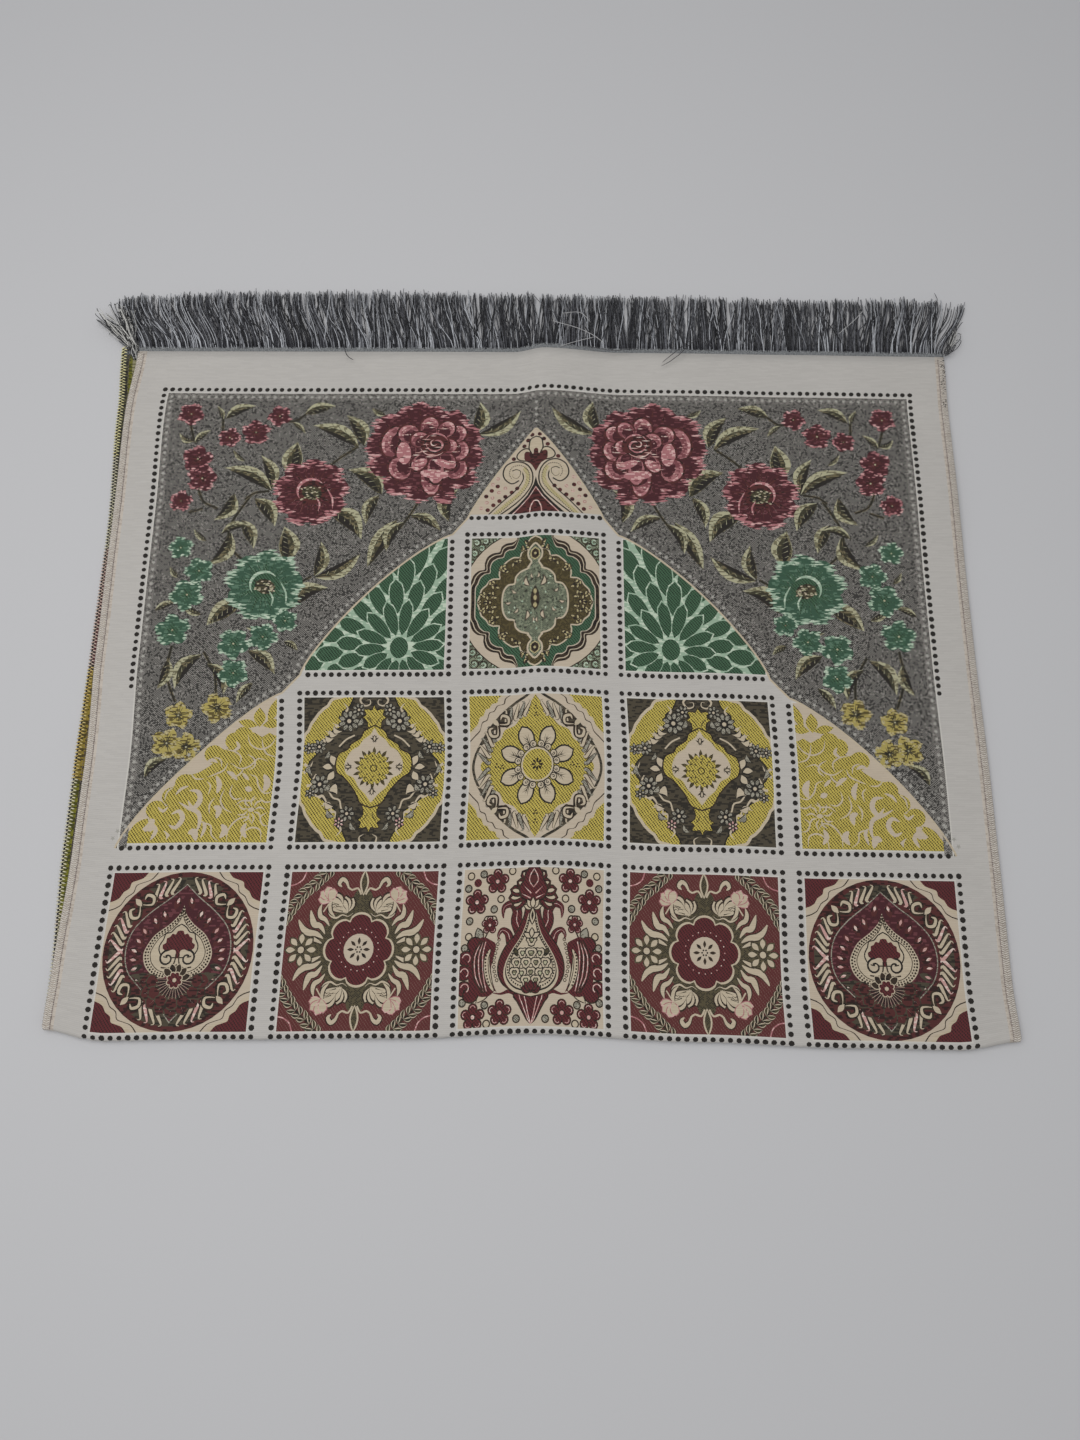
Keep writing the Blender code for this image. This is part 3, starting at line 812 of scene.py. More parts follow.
def draw_medallion_tile(pen):
    """Green lobed medallion with a bronze filigree ring, between pale arcs at the corners."""
    pen.fill(TILE, "lichen")
    quarter = pen.quartered()
    for spot in places("92,93 78,95 95,76 84,84 97,60 62,98"):
        for reach in (0.072, 0.036):
            quarter.line(spiral(spot, reach, reach * 0.7, 40, 300, 9), 0.016, "umber" if reach > 0.05
                         else "mint")
    pen.edged(oval(0j, 1.16, 1.13, count=44), "beige", "umber", 0.016)
    lobed = up_and_down(places("0,104 26,104 29,97 36,93 46,91 53,86 56,78 66,76 75,70 79,60 79,51 88,49 "
            "96,42 100,32 104,24 104,0"))
    for grow, finish in table("1,umber 0.965,bone 0.95,umber 0.9,beige 0.885,green"):
        pen.fill(both_sides([complex(point.real * grow, point.imag * (grow if abs(point.real) > 0.3 else 1))
                for point in lobed], 3), finish)
    ornament = places("0,99 7,96 12,90 14,84 10,79 17,79 22,74 24,68 33,69 41,65 47,60 51,55 55,50 56,42 "
                      "55,36 64,36 71,33 76,26 83,20 86,10 89,0")
    pen.edged(both_sides(up_and_down(ornament), 2), "bronze", "bone", 0.022)
    spread = random.Random(9)
    for spot, reach, count in table("0.14+0.8j,0.07,4 0.3+0.6j,0.1,6 0.46+0.48j,0.1,7 0.61+0.26j,0.1,6 "
            "0.72+0.12j,0.11,7 0.78,0.1,5 0.13+0.92j,0.05,3"):
        for _ in range(count):
            place = spot + spread.uniform(0.1, 1.0) * reach * heading(spread.uniform(0, 360))
            quarter.edged(oval(place, 0.034, 0.022, spread.uniform(0, 180), 7), "sand", "umber", 0.013)
        quarter.fill(oval(spot, 0.022, count=5), "black")
    foil = up_and_down(places("0,58 8,56 10,50 22,46 30,38 32,28 42,26 49,16 51,0"))
    pen.edged(both_sides(foil, 3), "lichen", "bone", 0.026)
    for side in (1, -1):
        neck = pen.at(0.72j * side, 1, 0 if side > 0 else 180)
        neck.fill(half("0,15 8,8 11,0 8,-9 5,-12 9,-22 0,-24", 3), "lichen")
        neck.line(route("-12,-21 -7,-16 -6,-11 -10,-6 -11,3 -7,10 0,16 7,10 11,3 10,-6 6,-11 7,-16 12,-21",
                        3), 0.026, "bone")
        neck.edged(half("0,9 6,4 6,-5 0,-9", 3), "umber", "sand", 0.02)
        neck.fill(oval(0j, 0.022, count=6), "sand")
    pair = pen.mirrored()
    for place, turn, size in table("11+30j,75,0.17 14-22j,-75,0.15 32+17j,40,0.1 30-13j,-40,0.1 42,0,0.1 "
            "4+38j,80,0.09 4-30j,-80,0.09"):
        petal = pair.at(place / 100, size, turn)
        petal.edged(leaf(-0.5, 0.5, 0.42, -0.22, 0.8), "bone", "umber", 0.1)
    for turn in range(0, 360, 24):
        for reach in (0.2, 0.33, 0.43):
            place = reach * heading(turn + 300 * reach)
            finish = ("black", "mint", "black")[int(turn / 24 + reach * 10) % 3]
            pen.fill(oval(place, 0.02, 0.012, turn * 3, 5), finish)
    pen.edged(half("0,24 6,14 8,2 6,-9 0,-17", 3), "umber", "lichen", 0.018)
    for along in (-0.08, 0.03, 0.13):
        pen.fill(leaf(complex(0, along - 0.04), complex(0, along + 0.05), 0.06), "sand")


def draw_apex_field(pen):
    """Triangle at the arch's top, in millimetres from the middle of its base."""
    pen.fill([-60 - 4j, 60 - 4j, 0 + 92j], "beige")
    pair = pen.mirrored()
    pen.fill(oval(80j, 1.6, 2.0, count=8), "wine")
    for spot in places("3.2,73.4 6.6,68.6 9.8,63.6 18.6,52.4 15.5,24.2 20,20.6 25.3,16.6 30.2,12.6 "
                       "35.2,8.7 39.8,4.2 31.8,26.4 36.7,22.3 41.2,17", 1):
        pair.fill(oval(spot, 1.9, count=9), "wine")
    for spot in places("31.6,33.6 35.8,28.2 25.4,24.6 30.7,20.6 36,15.6 40.6,11.2 45.2,6", 1):
        pair.edged(oval(spot, 1.25, count=7), "beige", "rose", 0.6)
    pair.edged(curve([0 + 54j, 3.5 + 58j, 8 + 61j, 13 + 59.5j, 16 + 55j, 14 + 51j, 6 + 49j], 4, True),
               "bone", "black", 1.1)
    pen.edged(both_sides([71.5j, 4.2 + 69.5j, 5.6 + 65j, 5.4 + 59j, 50j], 4), "bone", "black", 1.1)
    pen.fill(both_sides([58j, 3 + 59j, 4 + 54j, 9 + 57.5j, 9.8 + 53j, 8.4 + 49j, 4.5 + 46j, 2 + 42j, 38j],
                        3), "beige")
    pen.fill(both_sides([60.5j, 1.8 + 59j, 2.2 + 55j, 5 + 57j, 8 + 58j, 9.6 + 56.5j, 9.8 + 52j, 8.4 + 49j,
                         4.5 + 46j, 2 + 42j, 38j], 3), "wine")
    outer = places("14,31.5 20,28.8 25.6,32.8 27.4,39 24.8,46 18,49.6 10.6,48 5.2,42.6 2.6,35 3.4,26 "
                   "8.6,17.6 17,9.6 27,1.6 33,-3", 1)
    inner = places("15,42.4 11.6,39.2 10.4,33 13,27.2 18.4,20.6 26.6,13 40,-1", 1)
    middle = places("16.6,33.2 21.6,34.4 23.2,39.6 20.6,45 14.8,46.2 9.2,42.6 6.4,36 6.8,28 12,20 21,11.4 "
                    "34,-1", 1)
    pair.line(curve(middle, 4), 7.2, "bone")
    pair.line([point + 0.6 + 0.4j for point in curve(middle[5:], 4)], 3.0, "sand")
    pair.line(curve(outer, 4), 1.15, "black")
    pair.line(curve(inner, 4), 1.0, "black")
    for point in spaced(curve(middle, 4), 1.75):
        pair.fill(oval(point - 1.1 - 0.3j, 0.55, count=5), "black")
    coil = places("19.8,41 16.6,42.2 13,40.4 13.4,36 16.4,33.6 19.4,35.6 18.6,38.6", 1)
    pair.line(curve(coil, 4), 3.0, "bone")
    pair.line(curve(coil, 4), 0.9, "black", tapered)
    for text, finish in (("0,33 1.8,26 7,16.5 15,8 25,-1 22,-3", "black"),
                         ("0,24 6,14.5 13,7 21,-1 20,-3", "blush"),
                         ("0,22.6 5.4,14 12,6.8 20,-1.4 19,-3", "wine")):
        side = places(text, 1)
        pen.fill(side + [-point.conjugate() for point in side[:0:-1]], finish)
    pen.line(curve([-5 - 3j, -4.6 + 4j, -2.4 + 9.4j, 10.6j, 2.4 + 9.4j, 4.6 + 4j, 5 - 3j], 3), 1.0, "blush")


# Leaves of the left garland: root, tip (across and along, in mm), width and bend
GARLAND_LEAVES = table("""
    -288,491,-301,498,5,0.2 -288,489,-275,502,5,0.1 -264,513,-239,526,8,0.15
    -266,512,-272,526,4,-0.1 -244,472,-255,483,3.5,0.1 -197,518,-171,526,9,0.1
    -207,510,-195,499,4,0.1 -145,487,-161,517,12,-0.15 -149,485,-189,507,10,-0.15
    -128,517,-140,524,5,0.1 -52,500,-48,530,12,-0.15 -49,498,-13,521,9,-0.15
    -205,459,-201,491,16,0.05 -220,446,-231,478,10,-0.15 -220,444,-261,466,10,-0.15
    -251,442,-266,417,11,0.2 -234,437,-215,411,12,0.15 -128,440,-157,464,15,-0.2
    -130,440,-140,412,9,-0.15 -172,425,-143,399,15,0.2 -243,417,-231,391,10,0.1
    -251,406,-267,376,11,0.2 -114,417,-137,374,9,-0.1 -108,415,-122,388,8,-0.2
    -104,421,-78,407,8,0.15 -71,415,-64,446,9,0.3 -203,379,-207,411,16,-0.1
    -180,366,-176,397,10,-0.15 -180,365,-143,386,9,-0.15 -197,337,-168,356,13,0.25
    -237,344,-264,323,14,-0.1 -270,398,-282,409,4,0.1 -290,365,-298,375,4,0.1
    -307,336,-290,344,5,0.1 -269,332,-285,342,5,0.1 -265,298,-285,269,10,-0.2
    -261,290,-246,264,9,0.25 -223,274,-236,257,6,-0.1 -229,301,-206,281,10,0.15
    -292,295,-299,269,8,0.15 -201,309,-189,301,5,0.1 -303,196,-286,213,7,0.2 -259,404,-236,412,6,0.2
    -212,325,-232,321,5,0.2
""")
GARLAND_STEMS = (
    "-96,436 -106,418 -124,392 -136,376", "-150,486 -166,474 -176,464",
    "-238,438 -252,412 -250,392 -236,378", "-222,444 -234,442 -242,436", "-182,366 -192,360",
    "-52,498 -60,496", "-293,508 -288,490", "-218,512 -205,511 -196,518", "-265,498 -266,514",
    "-252,264 -254,282 -264,300", "-284,258 -292,282 -290,306", "-226,340 -224,328",
    "-282,448 -276,434 -264,428", "-288,424 -276,428", "-246,268 -238,280",
)
LEAF_WIDENING = 1.12

# Yarns of a flower: its body, its light streaks and its shade
RED_YARNS = ("maroon", "rose", "wine")
GREEN_YARNS = ("fern", "mint", "green")
YELLOW_YARNS = ("lemon", "sand", "olive")

# Small blossoms: across and along in mm, and radius
BLOSSOMS = (
    ("-293,517,11 -284,474,13 -259,495,9.5 -218,516,10 -237,500,12 -295,435,9.5 -279,456,12.5", RED_YARNS),
    ("-291,392,10 -274,371,12 -282,350,14 -291,319,14 -201,327,10 -239,282,12 -218,313,12 -241,307,13",
     GREEN_YARNS),
    ("-281,247,11 -251,253,12 -289,224,12 -274,221,11.5", YELLOW_YARNS),
)


def draw_leaf(pen, root, tip, width, bend):
    """Leaf with a pale rim, wider along one edge, and a dark veined middle."""
    way = tip - root
    across = 1j * way / abs(way)
    side = -1 if bend >= 0 else 1
    pen.fill(leaf(root, tip, width, bend, 0.85), "leaf_light")
    pen.fill(leaf(root, root + way * 0.95, width * 0.7, bend + side * 0.07, 0.85), "leaf_shade")
    pen.fill(leaf(root + way * 0.08, root + way * 0.86, width * 0.34, bend + side * 0.12, 0.85), "black")
    for share in (0.2, 0.34, 0.48, 0.62, 0.76):
        middle = root + way * share + across * bend * abs(way) * 4 * share * (1 - share)
        for wing in (1, -1):
            end = middle + way * 0.1 + wing * across * width * 0.27
            pen.line([end, middle], 0.55, "leaf_light" if wing == side else "black", tapered)
    middle = root + way * 0.5 + across * bend * abs(way)
    pen.line(curve([root, middle, root + way * 0.9], 3), 0.6, "black", tapered)


def dashes(pen, centre, across, along, count, finish, spread):
    """Short level dashes, as the weft shows, scattered in an oval."""
    for _ in range(count):
        turn = spread.uniform(0, 360)
        reach = math.sqrt(spread.uniform(0.0, 1.0))
        place = centre + complex(heading(turn).real * across, heading(turn).imag * along) * reach
        length = spread.uniform(0.14, 0.34) * across
        pen.fill(dash(place, length, 0.9), finish)


def dash(place, length, width):
    return leaf(place - length / 2, place + length / 2, width, 0, 1, 0.4, 3)


def draw_petal(pen, centre, wide, deep, turn, yarns, spread, streaks=9):
    """Rounded petal that faces a way, frayed with level streaks along its outer edge."""
    body, light, shade = yarns
    pen.fill(oval(centre, wide, deep, turn, 12), body)
    pen.line([centre - 0.9 * wide * heading(turn), centre + 0.5 * wide * heading(turn)], 0.22 * deep, shade,
             tapered)
    for _ in range(streaks):
        around = spread.uniform(-85, 85)
        reach = spread.uniform(0.62, 1.08)
        place = centre + complex(wide * heading(around).real,
                deep * heading(around).imag) * heading(turn) * reach
        length = wide * spread.uniform(0.35, 0.75)
        pen.fill(dash(place, length, spread.uniform(1.0, 1.7)), light)


def draw_blossom(pen, place, size, yarns, spread, petals=5):
    """Small flower seen from the front, with a dark heart."""
    turn = spread.uniform(0, 72)
    for step in range(petals):
        around = turn + 360.0 * step / petals
        draw_petal(pen, place + 0.56 * size * heading(around), 0.46 * size, 0.42 * size, around, yarns,
                   spread, 7)
    for step in range(petals * 2):
        around = turn + 180.0 * (step + 0.5) / petals
        pen.line([place + 0.1 * size * heading(around),
                  place + spread.uniform(0.4, 0.8) * size * heading(around)], 0.08 * size, yarns[2],
                 tapered)
    dashes(pen, place, 0.8 * size, 0.7 * size, 4, yarns[1], spread)
    pen.fill(oval(place, 0.16 * size, count=7), yarns[2])
    pen.fill(oval(place, 0.07 * size, count=5), "leaf_light")


def draw_open_flower(pen, place, size, yarns, spread):
    """Large open flower: a frayed ring of petals round a speckled heart."""
    body, light, shade = yarns
    flower = pen.at(place)
    for turn in range(8, 368, 40):
        draw_petal(flower, 0.66 * size * heading(turn), 0.36 * size, 0.34 * size, turn, yarns, spread, 15)
    for turn in range(0, 360, 12):
        outer = size * spread.uniform(0.62, 0.92)
        flower.line([0.3 * size * heading(turn), outer * heading(turn + spread.uniform(-4, 4))],
                    0.05 * size, (shade, body)[turn % 2], tapered)
    for turn in range(4, 364, 17):
        flower.line([0.42 * size * heading(turn), size * spread.uniform(0.5, 0.72) * heading(turn + 6)],
                    0.025 * size, light, pointed)
    flower.fill(oval(0.02j * size, 0.4 * size, 0.36 * size, 0, 14), shade)
    flower.line(arc(0.02j * size, 0.37 * size, 40, 215, 12), 0.09 * size, light, pointed)
    flower.fill(oval(complex(0.02, -0.03) * size, 0.28 * size, 0.21 * size, -20, 12), "olive")
    for _ in range(34):
        speck = complex(spread.uniform(-0.26, 0.28), spread.uniform(-0.24, 0.14)) * size
        flower.fill(oval(speck, 0.04 * size, 0.02 * size, spread.uniform(-20, 20), 5),
                    spread.choice(("leaf_light", "black", "bone")))
    for start, stop in ((0.14 - 0.16j, 0.22 - 0.58j), (0.42 + 0.1j, 0.6 - 0.52j)):
        middle = (start + stop) / 2 + 0.07
        flower.line(curve([start * size, middle * size, stop * size], 3), 0.05 * size, light, pointed)


# Petals of the rose: across and along from its middle, half width and depth, and the way they face
ROSE_OUTER = table("""
    -31,27,11,14,140 -39,8,10,13,175 -35,-10,11,12,190 -21,-27,13,12,225 -4,-33,12,13,255
    16,-34,14,10,285 32,-22,12,11,315 39,-2,10,13,350 37,18,10,12,20 24,31,12,12,50 6,36,11,12,80
    -14,36,11,12,110 -5,44,7,7,95
""")
ROSE_INNER = table("""
    -26,12,10,15,165 -15,2,8,14,175 -20,-14,9,11,205 6,-24,15,8,275 27,-14,9,10,325 10,-15,13,7,272
    29,4,8,10,355 20,-6,9,6,300 -4,-8,8,6,240 27,20,8,8,30 -14,20,8,9,130 4,26,10,8,85 18,24,8,7,60
    20,8,7,7,10 -4,14,7,8,120
""")


def draw_rose(pen, place, spread):
    """Full rose: frayed outer petals round a bowl of rolled inner ones, in millimetres."""
    rose = pen.at(place)
    for across, along, wide, deep, turn in ROSE_OUTER:
        draw_petal(rose, complex(across, along), wide, deep, turn, RED_YARNS, spread, 15)
    rose.fill(oval(0 + 2j, 34, 33, 0, 24), "maroon")
    for across, along, wide, deep, turn in ROSE_INNER:
        petal = rose.at(complex(across, along), 1, turn)
        petal.fill(oval(0.8, wide + 1.2, deep + 1.2, 0, 14), "wine")
        petal.fill(oval(0j, wide, deep, 0, 12), "petal")
        petal.fill(oval(-0.35 * wide, wide * 0.62, deep * 0.72, 0, 10), "maroon")
        rim = [complex(wide * heading(around).real, deep * heading(around).imag) * 0.86
               for around in range(-70, 71, 14)]
        petal.line(rim, 2.6, "rose", pointed)
        dashes(rose, complex(across, along) + 0.3 * wide * heading(turn), wide * 0.7, deep * 0.6, 4,
               "blush", spread)
    for centre, wide, deep, turn in table("-17+1j,6,11,5 9-19j,12,4.4,-6 17-9j,9,3.6,-22 -3-8j,6,3.6,20"):
        rose.fill(oval(centre, wide, deep, turn, 12), "rose")
        dashes(rose, centre, wide * 0.8, deep * 0.8, 5, "blush", spread)
    rose.fill(oval(9 + 10j, 13, 11, -10, 16), "wine")
    for centre, radius, start, sweep, yarn in table("9+10j,11,20,150,rose 9+10j,8,170,150,rose "
            "10+9j,5.5,300,170,rose 8+11j,3,90,240,blush 9+10j,13,200,110,blush 9+10j,9.5,60,330,black "
            "10+9j,4,240,260,black"):
        rose.line(spiral(centre, radius, radius * 0.8, start, sweep, 12), 1.9 if yarn == "rose" else 1.2,
                  yarn, pointed)
    dashes(rose, 6 + 5j, 28, 26, 26, "blush", spread)
    dashes(rose, 6 + 5j, 28, 26, 18, "wine", spread)


# Rows and columns of the tiles: dotted lines, in millimetres across and along the rug
TILE_COLUMNS = ((-319.2, -200.0), (-185.8, -68.2), (-55.9, 55.9), (68.2, 186.2), (198.6, 318.4))
TILE_ROWS = (4.0, 142.2, 280.4)
TILE_LENGTH = 123.1
DOTS_A_SIDE = 19
DOT_SIZE = 2.12
FIELD_INSET = 3.7
GUTTER = 9.9
RIM = 1.1
STRIPE = 6.8
STAR_PITCH = 6.3
STAR_REACH = (0.95, 2.1)
FRAME_TOP = 542.0
ARCH_FOOT = 142.2
FRAME_LEFT, FRAME_RIGHT = -319.2, 318.4

# Arcs of the arch: left and right end, foot and top, and how square each one is
ARCH_ARCS = (
    (-318.2, -200.0, ARCH_FOOT, 265.3, 1.22),
    (-185.8, -68.2, 280.4, 403.5, 1.25),
    (-56.0, 0.0, 418.6, 501.0, 1.12),
)
ARC_STEPS = 16
APEX_BASE = 418.6
FLORA_SEED = 4


def arch_side():
    """Left edge of the arch, from its foot on the frame to its apex."""
    points = []
    for left, right, low, high, power in ARCH_ARCS:
        for step in range(ARC_STEPS + 1):
            turn = math.pi / 2 * step / ARC_STEPS
            across = 1.0 - math.cos(turn) ** (2 / power)
            along = (1.0 - (1.0 - across) ** power) ** (1 / power)
            points.append(complex(left + (right - left) * across, low + (high - low) * along))
    return points


def spaced(points, pitch):
    """Places at even steps along a line."""
    places, left_over = [], 0.0
    for start, stop in zip(points, points[1:]):
        length = abs(stop - start)
        way = left_over
        while way < length:
            places.append(start + (stop - start) * way / length)
            way += pitch
        left_over = way - length
    return places


def beside(points, distance):
    """Line that runs at a distance to the left of another."""
    line = []
    for step, point in enumerate(points):
        along = points[min(step + 1, len(points) - 1)] - points[max(step - 1, 0)]
        line.append(point + 1j * along / max(abs(along), TINY) * distance)
    return line


def under_arch(across, along):
    """Whether a place lies in the field below the arch."""
    edge = arch_side()
    across = -abs(across)
    for start, stop in zip(edge, edge[1:]):
        if start.real <= across <= stop.real:
            way = stop - start
            return along < start.imag + way.imag * (across - start.real) / max(way.real, TINY)
    return False


def lay_dot(pen, place, spread):
    """Woven dot, each a little squarer or flatter than the last."""
    size = DOT_SIZE * spread.uniform(0.92, 1.08)
    pen.fill(oval(place, size, size * spread.uniform(0.9, 1.1), spread.uniform(0, 45), 7), "black")


def lay_dots(pen, start, stop, count, spread):
    for step in range(count + 1):
        lay_dot(pen, start + (stop - start) * step / count, spread)


def lay_stars(pen, places):
    """Five-pointed stars of a chain."""
    for place in places:
        pen.fill([place + STAR_REACH[step % 2] * heading(90 + 36 * step) for step in range(10)], "star")


def lay_tile(design, column, row, motif):
    """One tile's field with its motif, then the gutter round it and the pale line."""
    left, right = TILE_COLUMNS[column]
    low = TILE_ROWS[row]
    centre = complex((left + right) / 2, low + TILE_LENGTH / 2)
    reach = ((right - left) / 2 - FIELD_INSET, TILE_LENGTH / 2 - FIELD_INSET)
    field = Design()
    motif(Pen(field, centre, (reach[0] * (1 if column < 3 else -1), reach[1])))
    design.outlines.extend(within(field.outlines, centre, reach))
    frame = Pen(design, centre)
    wide, long = reach
    for grow, finish in ((GUTTER, "ground"), (RIM, "pale")):
        for side in (1, -1):
            behind, ahead = (0, grow) if side > 0 else (grow, 0)
            frame.fill(box(-wide - grow, side * long - behind, wide + grow, side * long + ahead), finish)
            frame.fill(box(side * wide - behind, -long - grow, side * wide + ahead, long + grow), finish)


def within(outlines, centre, reach):
    """Outlines cut to a field."""
    low, high = centre - complex(*reach), centre + complex(*reach)
    cut = [(clipped(points, low.real, low.imag, high.real, high.imag), finish)
           for points, finish in outlines]
    return [(points, finish) for points, finish in cut if len(points) > 2]


def lay_tile_dots(design, column, row, spread):
    """Dotted lines round one tile, where they aren't cut off by the arch."""
    left, right = TILE_COLUMNS[column]
    low, high = TILE_ROWS[row], TILE_ROWS[row] + TILE_LENGTH
    pen = Pen(design)
    near_left, near_right, far_right, far_left = box(left, low, right, high)
    sides = ((near_left, near_right), (far_left, far_right), (near_left, far_left), (near_right, far_right))
    for number, (start, stop) in enumerate(sides):
        for step in range(DOTS_A_SIDE + 1):
            if number > 1 and step in (0, DOTS_A_SIDE):
                continue
            place = start + (stop - start) * step / DOTS_A_SIDE
            on_frame = column in (0, 4) and abs(place.real) > 317
            if row > 0 and not under_arch(0 if on_frame else abs(place.real) - 3.0, place.imag + 3.0):
                continue
            if row == 0 or under_arch(place.real, place.imag + 2.0) or row == 2 and column == 2:
                lay_dot(pen, place, spread)


def draw_spandrel(design):
    """Flowered corner fields over the arch, each bounded by its chain of stars."""
    edge = arch_side()
    pen = Pen(design).mirrored()
    top = FRAME_TOP - FIELD_INSET
    side = FRAME_LEFT + FIELD_INSET
    pen.fill([complex(side, ARCH_FOOT)] + edge + [complex(0, top), complex(side, top)], "melange")
    pen.fill(box(side, top - STRIPE, 0, top), "stripe")
    pen.fill(box(side, ARCH_FOOT, side + 6.2, top), "stripe")
    rim = [complex(side - 0.5, ARCH_FOOT), complex(side - 0.5, top + 0.5), complex(0, top + 0.5)]
    pen.line(rim, RIM, "pale")
    spread = random.Random(FLORA_SEED)
    for stem in GARLAND_STEMS:
        for width, finish in ((2.2, "leaf_shade"), (1.1, "black")):
            pen.line(curve(places(stem, 1)), width, finish)
    for x, y, tip_x, tip_y, width, bend in GARLAND_LEAVES:
        draw_leaf(pen, complex(x, y), complex(tip_x, tip_y), width * LEAF_WIDENING, bend)
    draw_open_flower(pen, -187 + 443j, 31, RED_YARNS, spread)
    draw_open_flower(pen, -220 + 358j, 31, GREEN_YARNS, spread)
    draw_rose(pen, -94 + 479j, spread)
    for blossoms, yarns in BLOSSOMS:
        for across, along, size in table(blossoms):
            draw_blossom(pen, complex(across, along), size, yarns, spread)
    pen.line(edge, 1.5, "bone")
    lay_stars(pen, spaced(beside(edge, 5.0), STAR_PITCH)[1:-1])
    lay_stars(pen, [complex(side + 3.4, along) for along in star_places(152.0, top - 8)])
    lay_stars(pen, [complex(across, top - 3.6) for across in star_places(side + 3.4, -2.0)])
    lay_stars(Pen(design), [complex(0, along) for along in star_places(508.0, top - 8)])


def star_places(start, stop):
    return [start + STAR_PITCH * number for number in range(int((stop - start) / STAR_PITCH) + 1)]


def clipped(points, left, low, right, high):
    """Part of an outline inside an upright rectangle."""
    for axis, limit, sign in ((0, left, 1), (0, right, -1), (1, low, 1), (1, high, -1)):
        kept = []
        for start, stop in zip(points, points[1:] + points[:1]):
            start_side, stop_side = sign * (start[axis] - limit), sign * (stop[axis] - limit)
            if start_side >= 0:
                kept.append(start)
            if start_side * stop_side < 0:
                share = start_side / (start_side - stop_side)
                kept.append(tuple(near + (far - near) * share for near, far in zip(start, stop)))
        points = kept
    return points


def whole_design():
    """The face of the folded rug, from the fold to the woven end."""
    design = Design()
    Pen(design).fill(box(-400, -700, 400, 700), "ground")
    rows = (
        (draw_spade_tile, draw_rosette_tile, draw_vase_tile, draw_rosette_tile, draw_spade_tile),
        (draw_pomegranate_tile, draw_crown_tile, draw_daisy_tile, draw_crown_tile, draw_pomegranate_tile),
        (None, draw_chrysanthemum_tile, draw_medallion_tile, draw_chrysanthemum_tile, None),
    )
    tiles = [(column, row, motif) for row, motifs in enumerate(rows)
             for column, motif in enumerate(motifs) if motif]
    for column, row, motif in tiles:
        lay_tile(design, column, row, motif)
    draw_apex_field(Pen(design, complex(0, APEX_BASE + 3.0)))
    Pen(design).fill(box(-70, APEX_BASE - 8, 70, APEX_BASE + 3.2), "ground")
    draw_spandrel(design)
    spread = random.Random(FLORA_SEED)
    for column, row, _ in tiles:
        lay_tile_dots(design, column, row, spread)
    pen = Pen(design)
    lay_dots(pen, complex(-53, APEX_BASE), complex(53, APEX_BASE), 18, spread)
    lay_dots(pen, complex(FRAME_LEFT, FRAME_TOP), complex(FRAME_RIGHT, FRAME_TOP), 102, spread)
    for side in (FRAME_LEFT, FRAME_RIGHT):
        lay_dots(pen, complex(side, 271.5), complex(side, FRAME_TOP - 6.25), 42, spread)
    return design


def read_table(rows, column, at):
    """Value of a column at a place given in the first column, eased between the rows."""
    if at <= rows[0][0]:
        return rows[0][column]
    for low, high in zip(rows, rows[1:]):
        if at <= high[0]:
            step = ease((at - low[0]) / (high[0] - low[0]))
            return low[column] + (high[column] - low[column]) * step
    return rows[-1][column]


def ease(step):
    """Smooth step from 0 to 1."""
    step = min(max(step, 0.0), 1.0)
    return step * step * (3.0 - 2.0 * step)


def bump(distance, reach):
    """Soft bump: 1 at the middle and 0 from its reach outwards."""
    return 1.0 - ease(abs(distance) / reach)


def edge_shift(along, column_name):
    return read_table(EDGE_ROWS, EDGE_COLUMNS.index(column_name), along) * MM


def end_shift(across, column_name):
    return read_table(END_ROWS, END_COLUMNS.index(column_name), across) * MM


def place_across(share, along, layer):
    """X of a point that lies a share (0 to 1) of the way from the left to the right edge."""
    left = -RUG_WIDTH / 2 + edge_shift(along, layer + "_left")
    right = RUG_WIDTH / 2 + edge_shift(along, layer + "_right")
    return left + (right - left) * share


def place_along(across, along):
    """Y of a point, with the waviness of the fold and of the woven end."""
    share = min(along / FOLDED_LENGTH, 1.0)
    corner = CORNER_SETBACK * bump(RUG_WIDTH / 2 - abs(across), CORNER_ROUNDING_REACH)
    fold = end_shift(across, "fold_setback") * (1.0 - share)
    end = end_shift(across, "end_shift") * share
    return along + fold + end + corner * bump(along, CORNER_ROUNDING_REACH)


def upper_height(across, along):
    """Height of the rug's face above the floor, past the fold."""
    level = 2 * CLOTH_THICKNESS + LAYER_GAP
    fold = (FOLD_HEIGHT - level) * bump(along, FOLD_SETTLE)
    offset = across - CREASE_ACROSS
    reach = CREASE_REACH_LEFT if offset < 0 else CREASE_REACH_RIGHT
    share = min(along / FOLDED_LENGTH, 1.0)
    crest = CREASE_HEIGHT_AT_FOLD + (CREASE_HEIGHT_AT_END - CREASE_HEIGHT_AT_FOLD) * share
    settle = ease(along / FOLD_SETTLE)
    height = level + fold + crest * bump(offset, reach) * settle
    for middle, row, reach_across, reach_along, swell in SWELLS:
        height += swell * bump(across - middle, reach_across) * bump(along - row, reach_along) * settle
    return height


def cloth_point(share, run):
    """Point of the outer surface: run is the way along the rug from the fold's middle."""
    layer = "upper" if run > 0 else "under"
    if abs(run) < FOLD_ARC:
        angle = run / FOLD_RADIUS
        along = FOLD_RADIUS * (1.0 - math.cos(angle))
        height = FOLD_RADIUS + FOLD_RADIUS * math.sin(angle)
    else:
        along = FOLD_RADIUS + abs(run) - FOLD_ARC
        height = 0.0
    across = place_across(share, along, layer)
    if run >= FOLD_ARC:
        height = upper_height(across, along)
    return Vector((across, place_along(across, along), height))


